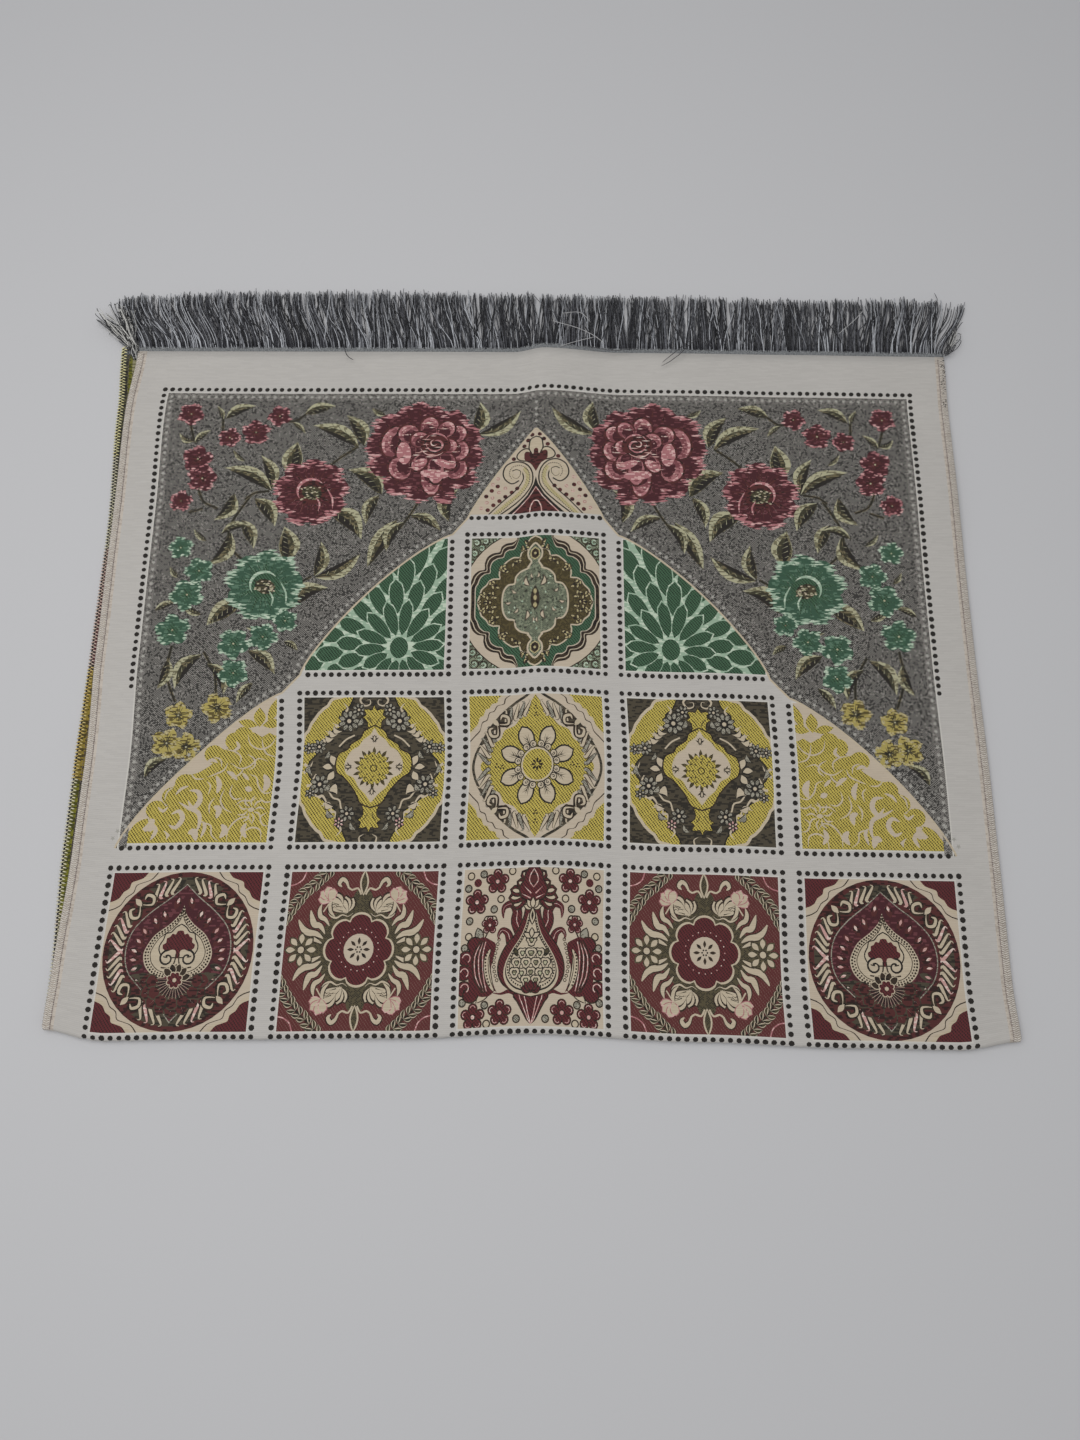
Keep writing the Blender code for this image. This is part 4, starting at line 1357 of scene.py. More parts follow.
def laid(across, run, lift=0.0):
    """Place in the frame of a point of the flat sheet, in millimetres, lifted off its face."""
    share = (across + HALF_WIDTH) / (2 * HALF_WIDTH)
    point = cloth_point(share, run * MM)
    if lift:
        step = 0.4
        sideways = cloth_point(share + step * MM, run * MM) - point
        onwards = cloth_point(share, (run + step) * MM) - point
        point = point + sideways.cross(onwards).normalized() * lift
    return point + to_frame()


def to_frame():
    """Shift from the rug's own coordinates to the CAD frame."""
    if not FRAME_SHIFT:
        low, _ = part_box("cloth")
        left = min(cloth_point(0.0, run * MM).x for run in spaced_values(UNDER_END, UPPER_END, 300))
        front = min(cloth_point(share, 0.0).y for share in spaced_values(0.0, 1.0, 300))
        FRAME_SHIFT.append(Vector((low[0] - left, low[1] - front, 0.0)))
    return FRAME_SHIFT[0]


FRAME_SHIFT = []


def spaced_values(start, stop, count):
    return [start + (stop - start) * step / count for step in range(count + 1)]


def frame_of_strip(share, depth, height, layer):
    """Point of a woven heading: depth and height run from 0 to 1 through its section."""
    across = place_across(share, FOLDED_LENGTH, layer)
    near = FOLDED_LENGTH + PIECE_GAP
    top = upper_height(across, FOLDED_LENGTH)
    if layer == "under":
        near -= UNDER_END_SETBACK
        top = STRIP_THICKNESS
    along = place_along(across, near) + depth * STRIP_DEPTH
    return Vector((across, along, top - (1.0 - height) * STRIP_THICKNESS)) + to_frame()


# Woven cloth: the design is cut into one mesh and laid over the fold

# Sizes of the cut, in millimetres: how far a thinned line may stray, the longest side, the
# distance at which points merge, and the cells that triangles are sorted into
BORDER_SLACK = 0.115
LONGEST_SIDE = 9.0
MERGE_DISTANCE = 0.012
SHORTEST_SIDE = 0.02
CELL = 9.0
LEAST_AREA = 0.01
LACE_MARGIN = 4.5

# Lattice: rows under the rug, round its fold and on top, then columns beside the crease
FOLD_NEAR = 8.0
LATTICE_ROWS = (40, 16, 58)
CREASE_LEFT = 32.0
CREASE_RIGHT = 70.0
LATTICE_COLUMNS = (34, 10, 14, 30)

# Map for the baked colours: lowest place and length of the upper layer, the under layer and
# the back, up the height of the map, and the place of the edge's walls
MAP_UPPER = (0.34, 0.655)
MAP_UNDER = (0.03, 0.13)
MAP_BACK = (0.18, 0.14)
MAP_WALL = 0.015
MAP_SPLIT = -6


def stepped(points):
    """Outline with its long sides cut into steps, so that it can follow the folds."""
    steps = []
    for start, stop in zip(points, points[1:] + points[:1]):
        length = math.hypot(stop[0] - start[0], stop[1] - start[1])
        if length < SHORTEST_SIDE:
            continue
        count = max(1, math.ceil(length / LONGEST_SIDE))
        for step in range(count):
            share = step / count
            steps.append(tuple(near + (far - near) * share for near, far in zip(start, stop)))
    return steps


def signed_area(points):
    return sum(a[0] * b[1] - b[0] * a[1] for a, b in zip(points, points[1:] + points[:1])) / 2


def row_places():
    """Rows of the lattice along the sheet, close together round the fold."""
    under, fold, upper = LATTICE_ROWS
    rows = spaced_values(UNDER_END, -FOLD_NEAR, under)[:-1] + spaced_values(-FOLD_NEAR, FOLD_NEAR, fold)
    return rows + spaced_values(FOLD_NEAR, UPPER_END, upper)[1:]


def column_places():
    """Columns of the lattice across the sheet, close together at the crease."""
    inner = HALF_WIDTH - SERGED_MARGIN
    middle = CREASE_ACROSS / MM
    marks = (-inner, middle - CREASE_LEFT, middle, middle + CREASE_RIGHT, inner)
    places = []
    for start, stop, count in zip(marks, marks[1:], LATTICE_COLUMNS):
        places += spaced_values(start, stop, count)[:-1]
    return places + [inner]


def sheet_edge():
    """Edge of the flat sheet, anticlockwise, with every place where a wall of it starts."""
    ends = [-HALF_WIDTH, LACE_MARGIN - HALF_WIDTH] + column_places() + [HALF_WIDTH]
    runs = row_places()
    lower = [(across, UNDER_END) for across in ends]
    right = [(HALF_WIDTH, run) for run in runs[1:-1]]
    upper = [(across, UPPER_END) for across in reversed(ends)]
    left = [(-HALF_WIDTH, run) for run in reversed(runs[1:-1])]
    return lower + right + upper + left


def sheet_lines():
    """Lines that every cut keeps: the sheet's edge and the inner sides of its serged margins."""
    runs = row_places()
    inner = HALF_WIDTH - SERGED_MARGIN
    edge = sheet_edge()
    inner_sides = (-inner, inner, LACE_MARGIN - HALF_WIDTH)
    return [edge + edge[:1]] + [[(across, run) for run in runs] for across in inner_sides]


def cut_along(lines, outlines, lattice):
    """Triangles of the flat sheet with every line and outline as sides of them."""
    points, sides, faces = [], [], []
    for line in lines:
        sides.extend((len(points) + step, len(points) + step + 1) for step in range(len(line) - 1))
        points.extend(line)
    for outline in outlines:
        faces.append(list(range(len(points), len(points) + len(outline))))
        points.extend(outline)
    points.extend(lattice)
    cut = delaunay_2d_cdt([Vector(point) for point in points], sides, faces, 0, MERGE_DISTANCE, True)
    triangles = [(face[0], face[step], face[step + 1]) for face in cut[2]
                 for step in range(1, len(face) - 1)]
    return numpy.array([tuple(place) for place in cut[0]]), numpy.array(triangles)


def topmost(outlines, places, triangles):
    """Number of the last outline over the middle of each triangle."""
    middles = places[triangles].mean(axis=1)
    low = middles.min(axis=0)
    columns = int((middles[:, 0].max() - low[0]) / CELL) + 1
    homes = ((middles - low) / CELL).astype(int)
    codes = homes[:, 1] * columns + homes[:, 0]
    order = numpy.argsort(codes, kind="stable")
    starts = numpy.searchsorted(codes[order], numpy.arange((homes[:, 1].max() + 1) * columns + 1))
    tops = numpy.zeros(len(triangles), dtype=int)
    for number, outline in enumerate(outlines):
        corners = numpy.array(outline)
        least = ((corners.min(axis=0) - low) / CELL).astype(int).clip(0)
        most = ((corners.max(axis=0) - low) / CELL).astype(int)
        most = numpy.minimum(most, (columns - 1, homes[:, 1].max()))
        firsts = [row * columns for row in range(least[1], most[1] + 1)]
        rows = [order[starts[first + least[0]]:starts[first + most[0] + 1]] for first in firsts]
        near = numpy.concatenate(rows) if rows else order[:0]
        if len(near):
            tops[near[inside(corners, middles[near])]] = number
    return tops


def inside(corners, spots):
    """Which spots lie inside an outline."""
    within_outline = numpy.zeros(len(spots), dtype=bool)
    following = numpy.roll(corners, -1, axis=0)
    for (start_x, start_y), (stop_x, stop_y) in zip(corners, following):
        if start_y == stop_y:
            continue
        crossed = (start_y > spots[:, 1]) != (stop_y > spots[:, 1])
        side = (stop_x - start_x) * (spots[:, 1] - start_y) / (stop_y - start_y) + start_x
        within_outline ^= crossed & (spots[:, 0] < side)
    return within_outline


def colour_borders(places, triangles, colours):
    """Lines between triangles of different finishes, with their nearly straight points left out."""
    sides = numpy.concatenate((triangles[:, (0, 1)], triangles[:, (1, 2)], triangles[:, (2, 0)]))
    sides.sort(axis=1)
    owners = numpy.tile(colours, 3)
    order = numpy.lexsort((sides[:, 1], sides[:, 0]))
    sides, owners = sides[order], owners[order]
    twins = (sides[1:] == sides[:-1]).all(axis=1) & (owners[1:] != owners[:-1])
    neighbours = {}
    for start, stop in sides[1:][twins].tolist():
        neighbours.setdefault(start, []).append(stop)
        neighbours.setdefault(stop, []).append(start)
    lines = []
    forks = [point for point, others in neighbours.items() if len(others) != 2]
    for point in forks + list(neighbours):
        while neighbours[point]:
            line = [point]
            while True:
                onward = neighbours[line[-1]].pop()
                neighbours[onward].remove(line[-1])
                line.append(onward)
                if onward == point or len(neighbours[onward]) != 1:
                    break
            lines.append(thinned([tuple(places[spot]) for spot in line], BORDER_SLACK))
    return lines


def thinned(line, slack):
    """Line without the points that lie within the slack of its straight course."""
    if len(line) < 3:
        return line
    start, stop = line[0], line[-1]
    way = (stop[0] - start[0], stop[1] - start[1])
    length = math.hypot(*way)
    worst, at = -1.0, 0
    for number in range(1, len(line) - 1):
        off = (line[number][0] - start[0], line[number][1] - start[1])
        distance = abs(way[0] * off[1] - way[1] * off[0]) / length if length > 1e-6 else math.hypot(*off)
        if distance > worst:
            worst, at = distance, number
    if worst < slack and length < LONGEST_SIDE:
        return [start, stop]
    if worst < slack:
        at = len(line) // 2
    return thinned(line[:at + 1], slack)[:-1] + thinned(line[at:], slack)


# Bands of floats on the reverse: where each ends on the run, its inner and outer finish, and
# its edge thread's tint
FLOAT_BANDS = (
    (-478.0, "float_olive", "float_black", 0.66),
    (-392.0, "float_black", "float_black", 0.36),
    (-288.0, "float_wine", "float_wine", 0.06),
    (-196.0, "float_mustard", "float_mustard", 0.98),
    (-96.0, "float_black", "float_olive", 0.40),
    (-22.0, "float_olive", "float_olive", 0.30),
    (1.0, "serge", "serge", 0.15),
)


def make_sheet_mesh():
    """Closed mesh of the folded sheet, with the yarns of the weave as corner colours."""
    inner = HALF_WIDTH - SERGED_MARGIN
    outlines, finishes = [sheet_edge()], ["serge"]
    for outline, finish in whole_design().outlines:
        outline = stepped(clipped(outline, -inner, UNDER_END - 1.0, inner, UPPER_END + 1.0))
        area = signed_area(outline) if len(outline) > 2 else 0.0
        if abs(area) > LEAST_AREA:
            outlines.append(outline if area > 0 else outline[::-1])
            finishes.append(finish)
    lattice = [(across, run) for across in column_places()[1:-1] for run in row_places()[1:-1]]
    drawn = [outline for outline, finish in zip(outlines, finishes)
             if finish not in ("serge", "ground") or abs(outline[0][0]) < 300]
    places, triangles = cut_along(sheet_lines(), drawn, [])
    names = sorted(set(finishes))
    codes = numpy.array([names.index(finish) for finish in finishes])
    colours = codes[topmost(outlines, places, triangles)]
    places, triangles = cut_along(sheet_lines() + colour_borders(places, triangles, colours), [], lattice)
    yarns = [finishes[top] for top in topmost(outlines, places, triangles)]
    back_places, back_triangles = cut_along(sheet_lines(), [], lattice[::3])
    return closed_sheet(places, triangles, yarns, back_places, back_triangles)


def closed_sheet(places, triangles, yarns, back_places, back_triangles):
    """Lay the face and the back over the fold and join them with walls along the edge."""
    points = [laid(across, run) for across, run in places.tolist()]
    back_points = [laid(across, run, -CLOTH_THICKNESS) for across, run in back_places.tolist()]
    back = len(points)
    front_at = edge_corners(places, 0)
    back_at = edge_corners(back_places, back)
    faces = triangles.tolist()
    flats = [[tuple(places[corner]) for corner in triangle] for triangle in faces]
    for triangle in back_triangles.tolist():
        corners = triangle[::-1]
        faces.append([corner + back for corner in corners])
        flats.append([tuple(back_places[corner]) for corner in corners])
        middle = back_places[corners].mean(axis=0)
        yarns.append(reverse_yarn(*middle))
    edge = sheet_edge()
    keys = [(round(across, 1), round(run, 1)) for across, run in edge]
    for near, far, start, stop in zip(keys, keys[1:] + keys[:1], edge, edge[1:] + edge[:1]):
        faces.append([front_at[far], front_at[near], back_at[near], back_at[far]])
        flats.append([stop, start, start, stop])
        yarns.append("serge")
    mesh = bpy.data.meshes.new("woven_cloth")
    mesh.from_pydata(points + back_points, [], faces)
    colour_corners(mesh, yarns, flats, len(triangles), len(back_triangles))
    mesh.shade_smooth()
    return mesh


def reverse_yarn(across, run):
    """Finish of the reverse: the bands of floats show at the under layer's left edge."""
    if abs(across) < HALF_WIDTH - SERGED_MARGIN:
        return "reverse"
    if across > 0 or run > 0:
        return "serge"
    outer = abs(across) > HALF_WIDTH - LACE_MARGIN
    return next(band[2 if outer else 1] for band in FLOAT_BANDS if run < band[0])


def edge_corners(places, first):
    """Numbers of the corners that lie on the sheet's edge, by their place to a tenth."""
    near = 0.02
    return {(round(across, 1), round(run, 1)): first + index for index,
            (across, run) in enumerate(places.tolist())
            if HALF_WIDTH - abs(across) < near or UPPER_END - run < near or run - UNDER_END < near}


def colour_corners(mesh, yarns, flats, front_count, back_count):
    """Store each corner's two yarns, kind of weave and place on the flat sheet."""
    colours = {finish: finish_colours(finish) for finish in set(yarns)}
    sizes = [len(flat) for flat in flats]
    for number, name in enumerate(("yarn", "fleck")):
        values = numpy.repeat(numpy.array([colours[finish][number] for finish in yarns]), sizes, axis=0)
        layer = mesh.attributes.new(name, "FLOAT_COLOR", "CORNER")
        layer.data.foreach_set("color", values.ravel())
    corners = [corner for flat in flats for corner in flat]
    layer = mesh.attributes.new("flat", "FLOAT_VECTOR", "CORNER")
    layer.data.foreach_set("vector", numpy.array([(across, run, 0.0) for across, run in corners]).ravel())
    baked = mesh.uv_layers.new(name="OFBake")
    spots = []
    for number, flat in enumerate(flats):
        for across, run in flat:
            u = 0.002 + 0.996 * (across + HALF_WIDTH) / (2 * HALF_WIDTH)
            if number >= front_count + back_count:
                v = MAP_WALL
            elif number >= front_count:
                v = map_place(run, UNDER_END, UPPER_END, MAP_BACK)
            elif run > MAP_SPLIT:
                v = map_place(run, MAP_SPLIT, UPPER_END, MAP_UPPER)
            else:
                v = map_place(run, UNDER_END, MAP_SPLIT, MAP_UNDER)
            spots.append((u, v))
    baked.data.foreach_set("uv", numpy.array(spots).ravel())


def map_place(run, start, stop, strip):
    low, reach = strip
    return low + reach * (run - start) / (stop - start)


def finish_colours(finish):
    """The two yarns of a finish as linear colours: alphas hold the share and the weave."""
    first, second, share, weave = FINISHES[finish]
    kinds = ("plain", "twill", "grain", "dash")
    first, second = (linear(yarn) for yarn in table(first + " " + second))
    return first + (float(share),), second + (kinds.index(weave) / 4,)


def linear(colour):
    """Screen colour, from 0 to 255, as linear light."""
    shares = [part / 255 for part in colour]
    return tuple(share / 12.92 if share < 0.04045 else ((share + 0.055) / 1.055) ** 2.4 for share in shares)


# Threads: many thin tubes made at once, then led along their own paths

def make_threads(name, paths, radii, sides, towards):
    """Mesh of tubes, one a path; radii give each step's radius and towards a side to face."""
    steps = len(paths[0]) - 1
    builder = bmesh.new()
    bmesh.ops.create_circle(builder, segments=sides, radius=1.0, cap_ends=True)
    ring = list(builder.faces)
    for _ in range(steps):
        ring = bmesh.ops.extrude_face_region(builder, geom=ring)["geom"]
        ring = [part for part in ring if isinstance(part, bmesh.types.BMFace)]
        bmesh.ops.translate(builder, verts=ring[0].verts, vec=(0.0, 0.0, 1.0))
    inner = [face for face in builder.faces if abs(face.normal.z) > 0.5
             and 0.5 < face.calc_center_median().z < steps - 0.5]
    bmesh.ops.delete(builder, geom=inner, context="FACES_ONLY")
    bmesh.ops.recalc_face_normals(builder, faces=builder.faces)
    mesh = bpy.data.meshes.new(name)
    builder.to_mesh(mesh)
    builder.free()
    piece = bpy.data.objects.new(name, mesh)
    bpy.context.scene.collection.objects.link(piece)
    repeats = piece.modifiers.new("repeats", "ARRAY")
    repeats.count = len(paths)
    repeats.use_relative_offset = False
    shapes = piece.evaluated_get(bpy.context.evaluated_depsgraph_get())
    piece.data = bpy.data.meshes.new_from_object(shapes)
    piece.modifiers.clear()
    bpy.data.meshes.remove(mesh)
    mesh = piece.data
    mesh.name = name
    lead_along(mesh, numpy.array(paths), numpy.array(radii), numpy.array(towards))
    return piece


def lead_along(mesh, paths, radii, towards):
    """Move each tube of a bundle onto its path."""
    count, steps = paths.shape[:2]
    spots = numpy.empty(len(mesh.vertices) * 3)
    mesh.vertices.foreach_get("co", spots)
    spots = spots.reshape(count, -1, 3)
    step = numpy.rint(spots[0, :, 2]).astype(int)
    ahead = numpy.concatenate((paths[:, 1:], paths[:, -1:]), axis=1)
    behind = numpy.concatenate((paths[:, :1], paths[:, :-1]), axis=1)
    forward = ahead - behind
    forward /= numpy.linalg.norm(forward, axis=2, keepdims=True)
    side = numpy.cross(forward, numpy.broadcast_to(towards, forward.shape))
    side /= numpy.linalg.norm(side, axis=2, keepdims=True)
    upward = numpy.cross(side, forward)
    across = radii[:, step, None] * spots[:, :, 0, None]
    raised = radii[:, step, None] * spots[:, :, 1, None]
    placed = paths[:, step] + across * upward[:, step] + raised * side[:, step]
    mesh.vertices.foreach_set("co", placed.ravel())
    mesh.update()
    mesh.shade_smooth()


def tint_threads(piece, tints):
    """Give every thread of a piece its own shade, from 0 to 1."""
    mesh = piece.data
    each = len(mesh.vertices) // len(tints)
    layer = mesh.attributes.new("tint", "FLOAT", "POINT")
    layer.data.foreach_set("value", numpy.repeat(numpy.array(tints), each))


# Edges: the overlock stitches and their threads, in millimetres

# The under layer's left edge is open lace: its reach beyond the cloth's side and end, and its
# wider pitch and thicker thread
LACE_OUT = 2.3
LACE_BEYOND = 7.5
LACE_PITCH = 1.8
LACE_THREAD = 1.3
SPECKS = 26
FRINGE_STEPS = 8
FRINGE_TWIST = 420.0


def face_up(half, across, run, lift):
    """Place on the side of a layer that faces up, lifted off it, in millimetres."""
    return laid(across, run, (lift if half > 0 else -CLOTH_THICKNESS / MM - lift) * MM)


def stitch_runs(half, pitch, beyond=0.0):
    """Places of the stitches along one edge of one layer."""
    low, high = (3.0, UPPER_END - 0.6) if half > 0 else (UNDER_END + 0.6 - beyond, -3.0)
    return [low + step * pitch for step in range(int((high - low) / pitch))]


def stitch_paths(side, half, reach, runs, out, spread):
    """Stitches of one long edge: an inner slanted thread and an outer one, out beyond the edge."""
    paths = []
    pitch = runs[1] - runs[0]
    edge = HALF_WIDTH + out
    lean = 0.12 if out else 0.42
    for run in runs:
        run += spread.uniform(-0.2, 0.2)
        inner_end = spread.uniform(0.92, 1.05)
        for slant, start, stop in ((-1, inner_end, 0.48), (1, 0.56, 0.0)):
            path = []
            for share in (0.0, 0.3, 0.7, 1.0):
                depth = reach * (start + (stop - start) * share)
                lift = 0.18 + 0.30 * math.sin(math.pi * share) + (1.0 if run < UNDER_END else 0.0)
                along = run + slant * lean * pitch * (2 * share - 1) + (pitch / 2 if out and slant > 0
                        else 0.0)
                along = min(along, UPPER_END - 0.2)
                path.append(face_up(half, side * (edge - depth), along, lift))
            if slant > 0:
                path[-1] = laid(side * edge, along, -0.6 * MM) + Vector((side * 0.42 * MM, 0.0, 0.0))
                path.append(laid(side * (edge - 1.4), run, -0.75 * MM))
            else:
                path.append(face_up(half, side * (edge - reach * 0.44), along, -0.1))
            paths.append(path)
    return paths


def dark_underlay_paths(side, out):
    """Near-black tube under the stitches that reach out beyond the under layer's left edge."""
    runs = spaced_values(UNDER_END - LACE_BEYOND, -3.0, FRINGE_STEPS * 12)
    spots = [laid(side * (HALF_WIDTH + out / 2 - 0.2), run, -0.88 * MM) for run in runs]
    return [spots[start:start + FRINGE_STEPS + 1] for start in range(0, len(spots) - 1, FRINGE_STEPS)]


def chain_paths(side, half, reach, pitch, spread):
    """Short needle stitches that run along the inner side of the overlock."""
    paths = []
    for run in stitch_runs(half, pitch):
        depth = reach + spread.uniform(-0.15, 0.15)
        rows = [(share - 0.5) * pitch * 0.8 for share in (0.0, 0.3, 0.6, 0.8, 1.0)]
        lifts = (0.1, 0.38, 0.42, 0.34, 0.1)
        paths.append([face_up(half, side * (HALF_WIDTH - depth), run + row, lift) for row,
                      lift in zip(rows, lifts)])
    return paths


def edge_tints(half, side, runs, spread):
    """Shade of each edge thread: the under left edge changes with the bands of floats."""
    if half > 0 or side > 0:
        return [spread.uniform(0.15, 0.9) for _ in runs]
    tints = [next(tint for end, _, _, tint in FLOAT_BANDS if run < end) for run in runs]
    return [tint + spread.uniform(-0.08, 0.08) for tint in tints]


def through(points, count):
    """Even places on a smooth route through given points, in the rug's millimetres."""
    line = curve([complex(x, y) for x, y, _ in points], 8)
    heights = curve([complex(z, 0) for _, _, z in points], 8)
    route = []
    for step in range(count):
        at = step * (len(line) - 1) / (count - 1)
        near = min(int(at), len(line) - 2)
        share = at - near
        spot = line[near] * (1 - share) + line[near + 1] * share
        height = (heights[near] * (1 - share) + heights[near + 1] * share).real
        route.append(Vector((spot.real, spot.imag, height)) * MM + to_frame())
    return route


# Loose ends over the fringe and the cloth: tint, then places in the rug's millimetres
LOOSE_YARNS = (
    (0.95, "12,608,10 33,601,10.5 48,593,10.8 58,585,10"),
    (0.9, "21,617,8 37,617,9.5 46,606,10.5"),
    (0.92, "15,581,9 33,586,11 50,591,11"),
    (0.12, "107,564,7.6 119,571,9.2 131,582,12.5 139,587,14 145,583,12.5 148,577,9.5"),
    (0.1, "108,568,7.4 120,578,9 131,586,12 140,588,13.2"),
    (0.05, "-168,590,8.5 -167,578,9.6 -164,571,9.4 -159,568,8.6"),
    (0.15, "40,583,10 66,578,9.6 88,582,9.4"),
    (0.2, "352,644,3 353,634,5 347,624,6 349,612,6"),
    (0.22, "-388,613,1.5 -380,606,2.5 -367,603,3.5 -356,596,4.5"),
    (0.3, "-5,640,5 4,626,8 20,612,9.5 32,600,10"),
    (0.88, "-312,604,7 -318,617,6.5 -326,629,6"),
    (0.9, "262,597,8 276,610,8.5 286,622,7"),
)
# Thread ends at the corners of the edges: root, tip, how far they fan out, how many
CORNER_ENDS = (
    ((-356, 584, 3.5), (-382, 613, 3.0), 4.2, 40),
    ((-352, 585, 4.5), (-367, 619, 4.5), 4.2, 54),
    ((-350, 573, 2.6), (-354, 590, 3.6), 2.4, 34),
    ((356, 583, 4.5), (367, 605, 3.5), 3.5, 20),
    ((353, 578, 5.5), (363, 594, 5.0), 3.0, 8),
)


def corner_end_paths(spread):
    """Cut thread ends that fan out and curl at the corners beside the fringe."""
    paths = []
    for root, tip, fan, count in CORNER_ENDS:
        for _ in range(count):
            reach = spread.uniform(0.55, 1.08)
            start = [root[0] + spread.gauss(0, 1.2), root[1] + spread.gauss(0, 1.2),
                     root[2] + spread.uniform(-0.6, 0.8)]
            stop = [place + spread.gauss(0, fan) for place in tip]
            stop = [near + (far - near) * reach for near, far in zip(root, stop)]
            bow = [spread.gauss(0, 2.2), spread.gauss(0, 2.2), spread.uniform(0.0, 1.5)]
            middle = [(near + far) / 2 + off for near, far, off in zip(start, stop, bow)]
            hook = [far + spread.gauss(0, 1.6) for far in stop]
            points = [start, middle, stop, hook]
            paths.append(through([(x, y, max(z, 0.9)) for x, y, z in points], FRINGE_STEPS + 1))
    for _ in range(SPECKS):
        run = spread.uniform(528, 578)
        start = laid(HALF_WIDTH - spread.uniform(0.5, 4.5), run, 0.4 * MM)
        way = Vector((spread.uniform(0.6, 1.6), spread.uniform(-0.4, 1.2), spread.uniform(0.2, 0.8))) * MM
        paths.append([start + way * step / FRINGE_STEPS for step in range(FRINGE_STEPS + 1)])
    return paths


# Fringes: yarns that leave the woven headings

# Lean and curl of the yarns at their tips, in metres, and how many of them stray or lie together
LOCK_LEAN = 0.0036
OWN_LEAN = 0.0026
STRAY_LEAN = 0.011
STRAY_SHARE = 0.12
CURL = 0.0014
MOST_IN_LOCK = 5
YARN_TINTS = (0.0, 0.10, 0.20, 0.32, 0.50, 0.74, 0.96)

# Heading: columns and rows of its grid, its weft cords and the wall under them, in metres
HEADING_GRID = (460, 10)
HEADING_CORDS = 5
HEADING_WALL = 0.0005


def yarn_path(root, length, layer, lean_more, curl, lift, phase):
    """Middle line of one fringe yarn: upright at its root, swept aside, upright at its tip."""
    length *= read_table(LEAN_ROWS, LEAN_COLUMNS.index("length_share"), root.x)
    lean = read_table(LEAN_ROWS, LEAN_COLUMNS.index(layer + "_lean"),
                      root.x) * length / STRAND_LENGTH + lean_more
    lean = min(max(lean, -0.6 * length), 0.6 * length)
    rest = STRAND_THICKNESS / 2 + (STRAND_THICKNESS + LAYERED_STRAND_GAP if layer == "upper" else 0.0)
    reach = math.sqrt(length ** 2 - lean ** 2)
    path = []
    for number in range(FRINGE_STEPS + 1):
        step = number / FRINGE_STEPS
        wave = curl * step * math.sin(2 * math.pi * (1.3 * step + phase))
        drop = (root.z - rest - lift) * ease(step * DROP_HASTE)
        sideways = lean * (0.35 * step + 0.65 * ease(1.1 * step)) + wave
        path.append(root + Vector((sideways, reach * step, -drop)))
    return path


def make_fringe(name, layer, count, spread):
    """Yarns of one fringe, in small locks that lean and cross a little."""
    sizes = bpy.context.scene.rug_fringe
    paths, radii, tints = [], [], []
    lock_lean, lock_left = 0.0, 0
    for number in range(count):
        if lock_left == 0:
            lock_lean, lock_left = spread.gauss(0, LOCK_LEAN), spread.randint(1, MOST_IN_LOCK)
            lock_tint = spread.uniform(-0.08, 0.08)
            lock_length = spread.uniform(0.96, 1.02)
        lock_left -= 1
        share = min(max((number + spread.uniform(0.1, 0.9)) / count, 0.002), 0.998)
        depth = spread.uniform(0.55, 0.9)
        root = frame_of_strip(share, depth, spread.uniform(0.45, 0.85), layer) - to_frame()
        length = sizes.length * lock_length * spread.uniform(0.93, 1.01)
        stray = spread.gauss(0, STRAY_LEAN if spread.random() < STRAY_SHARE else OWN_LEAN)
        crossing = 0.0016 if abs(stray) > 0.004 else 0.0
        lift = abs(spread.gauss(0, 0.0007)) + (crossing * spread.random() if crossing else 0.0)
        curl = spread.gauss(0, CURL)
        path = yarn_path(root, length, layer, lock_lean + stray, curl, lift, spread.random())
        paths.append([point + to_frame() for point in path])
        thick = sizes.yarn / 2 * spread.uniform(0.75, 1.15)
        radii.append([thick * (1.0 - 0.35 * (step / FRINGE_STEPS) ** 2)
                      for step in range(FRINGE_STEPS + 1)])
        tint = spread.choice(YARN_TINTS) + lock_tint
        tints.append(min(max(tint, 0.0), 1.0))
    piece = make_threads(name, paths, radii, 3, (0.0, 0.0, 1.0))
    tint_threads(piece, tints)
    return piece


def make_heading(name, layer):
    """Woven heading of a fringe: a thin band with the ribs of its weft cords."""
    columns, rows = HEADING_GRID
    band = bmesh.new()
    bmesh.ops.create_grid(band, x_segments=columns, y_segments=rows, size=0.5)
    for vertex in band.verts:
        share, depth = vertex.co.x + 0.5, vertex.co.y + 0.5
        cord = math.sin(math.pi * depth * HEADING_CORDS) ** 2
        turn = share * 2 * math.pi * columns / 4 + math.pi * math.floor(depth * HEADING_CORDS)
        weave = 0.5 + 0.5 * math.sin(turn)
        height = 0.66 + 0.22 * cord * weave if 0.02 < depth < 0.98 else 0.35
        vertex.co = frame_of_strip(share, -0.04 + 1.04 * depth, height, layer)
    piece = add_piece(name, band)
    thickness = piece.modifiers.new("thickness", "SOLIDIFY")
    thickness.thickness = HEADING_WALL
    thickness.offset = -1.0
    return piece


def add_piece(name, builder):
    mesh = bpy.data.meshes.new(name)
    builder.to_mesh(mesh)
    builder.free()
    mesh.shade_smooth()
    piece = bpy.data.objects.new(name, mesh)
    bpy.context.scene.collection.objects.link(piece)
    return piece


# Finishes: node-based, reading the flat place and the yarns stored on the cloth

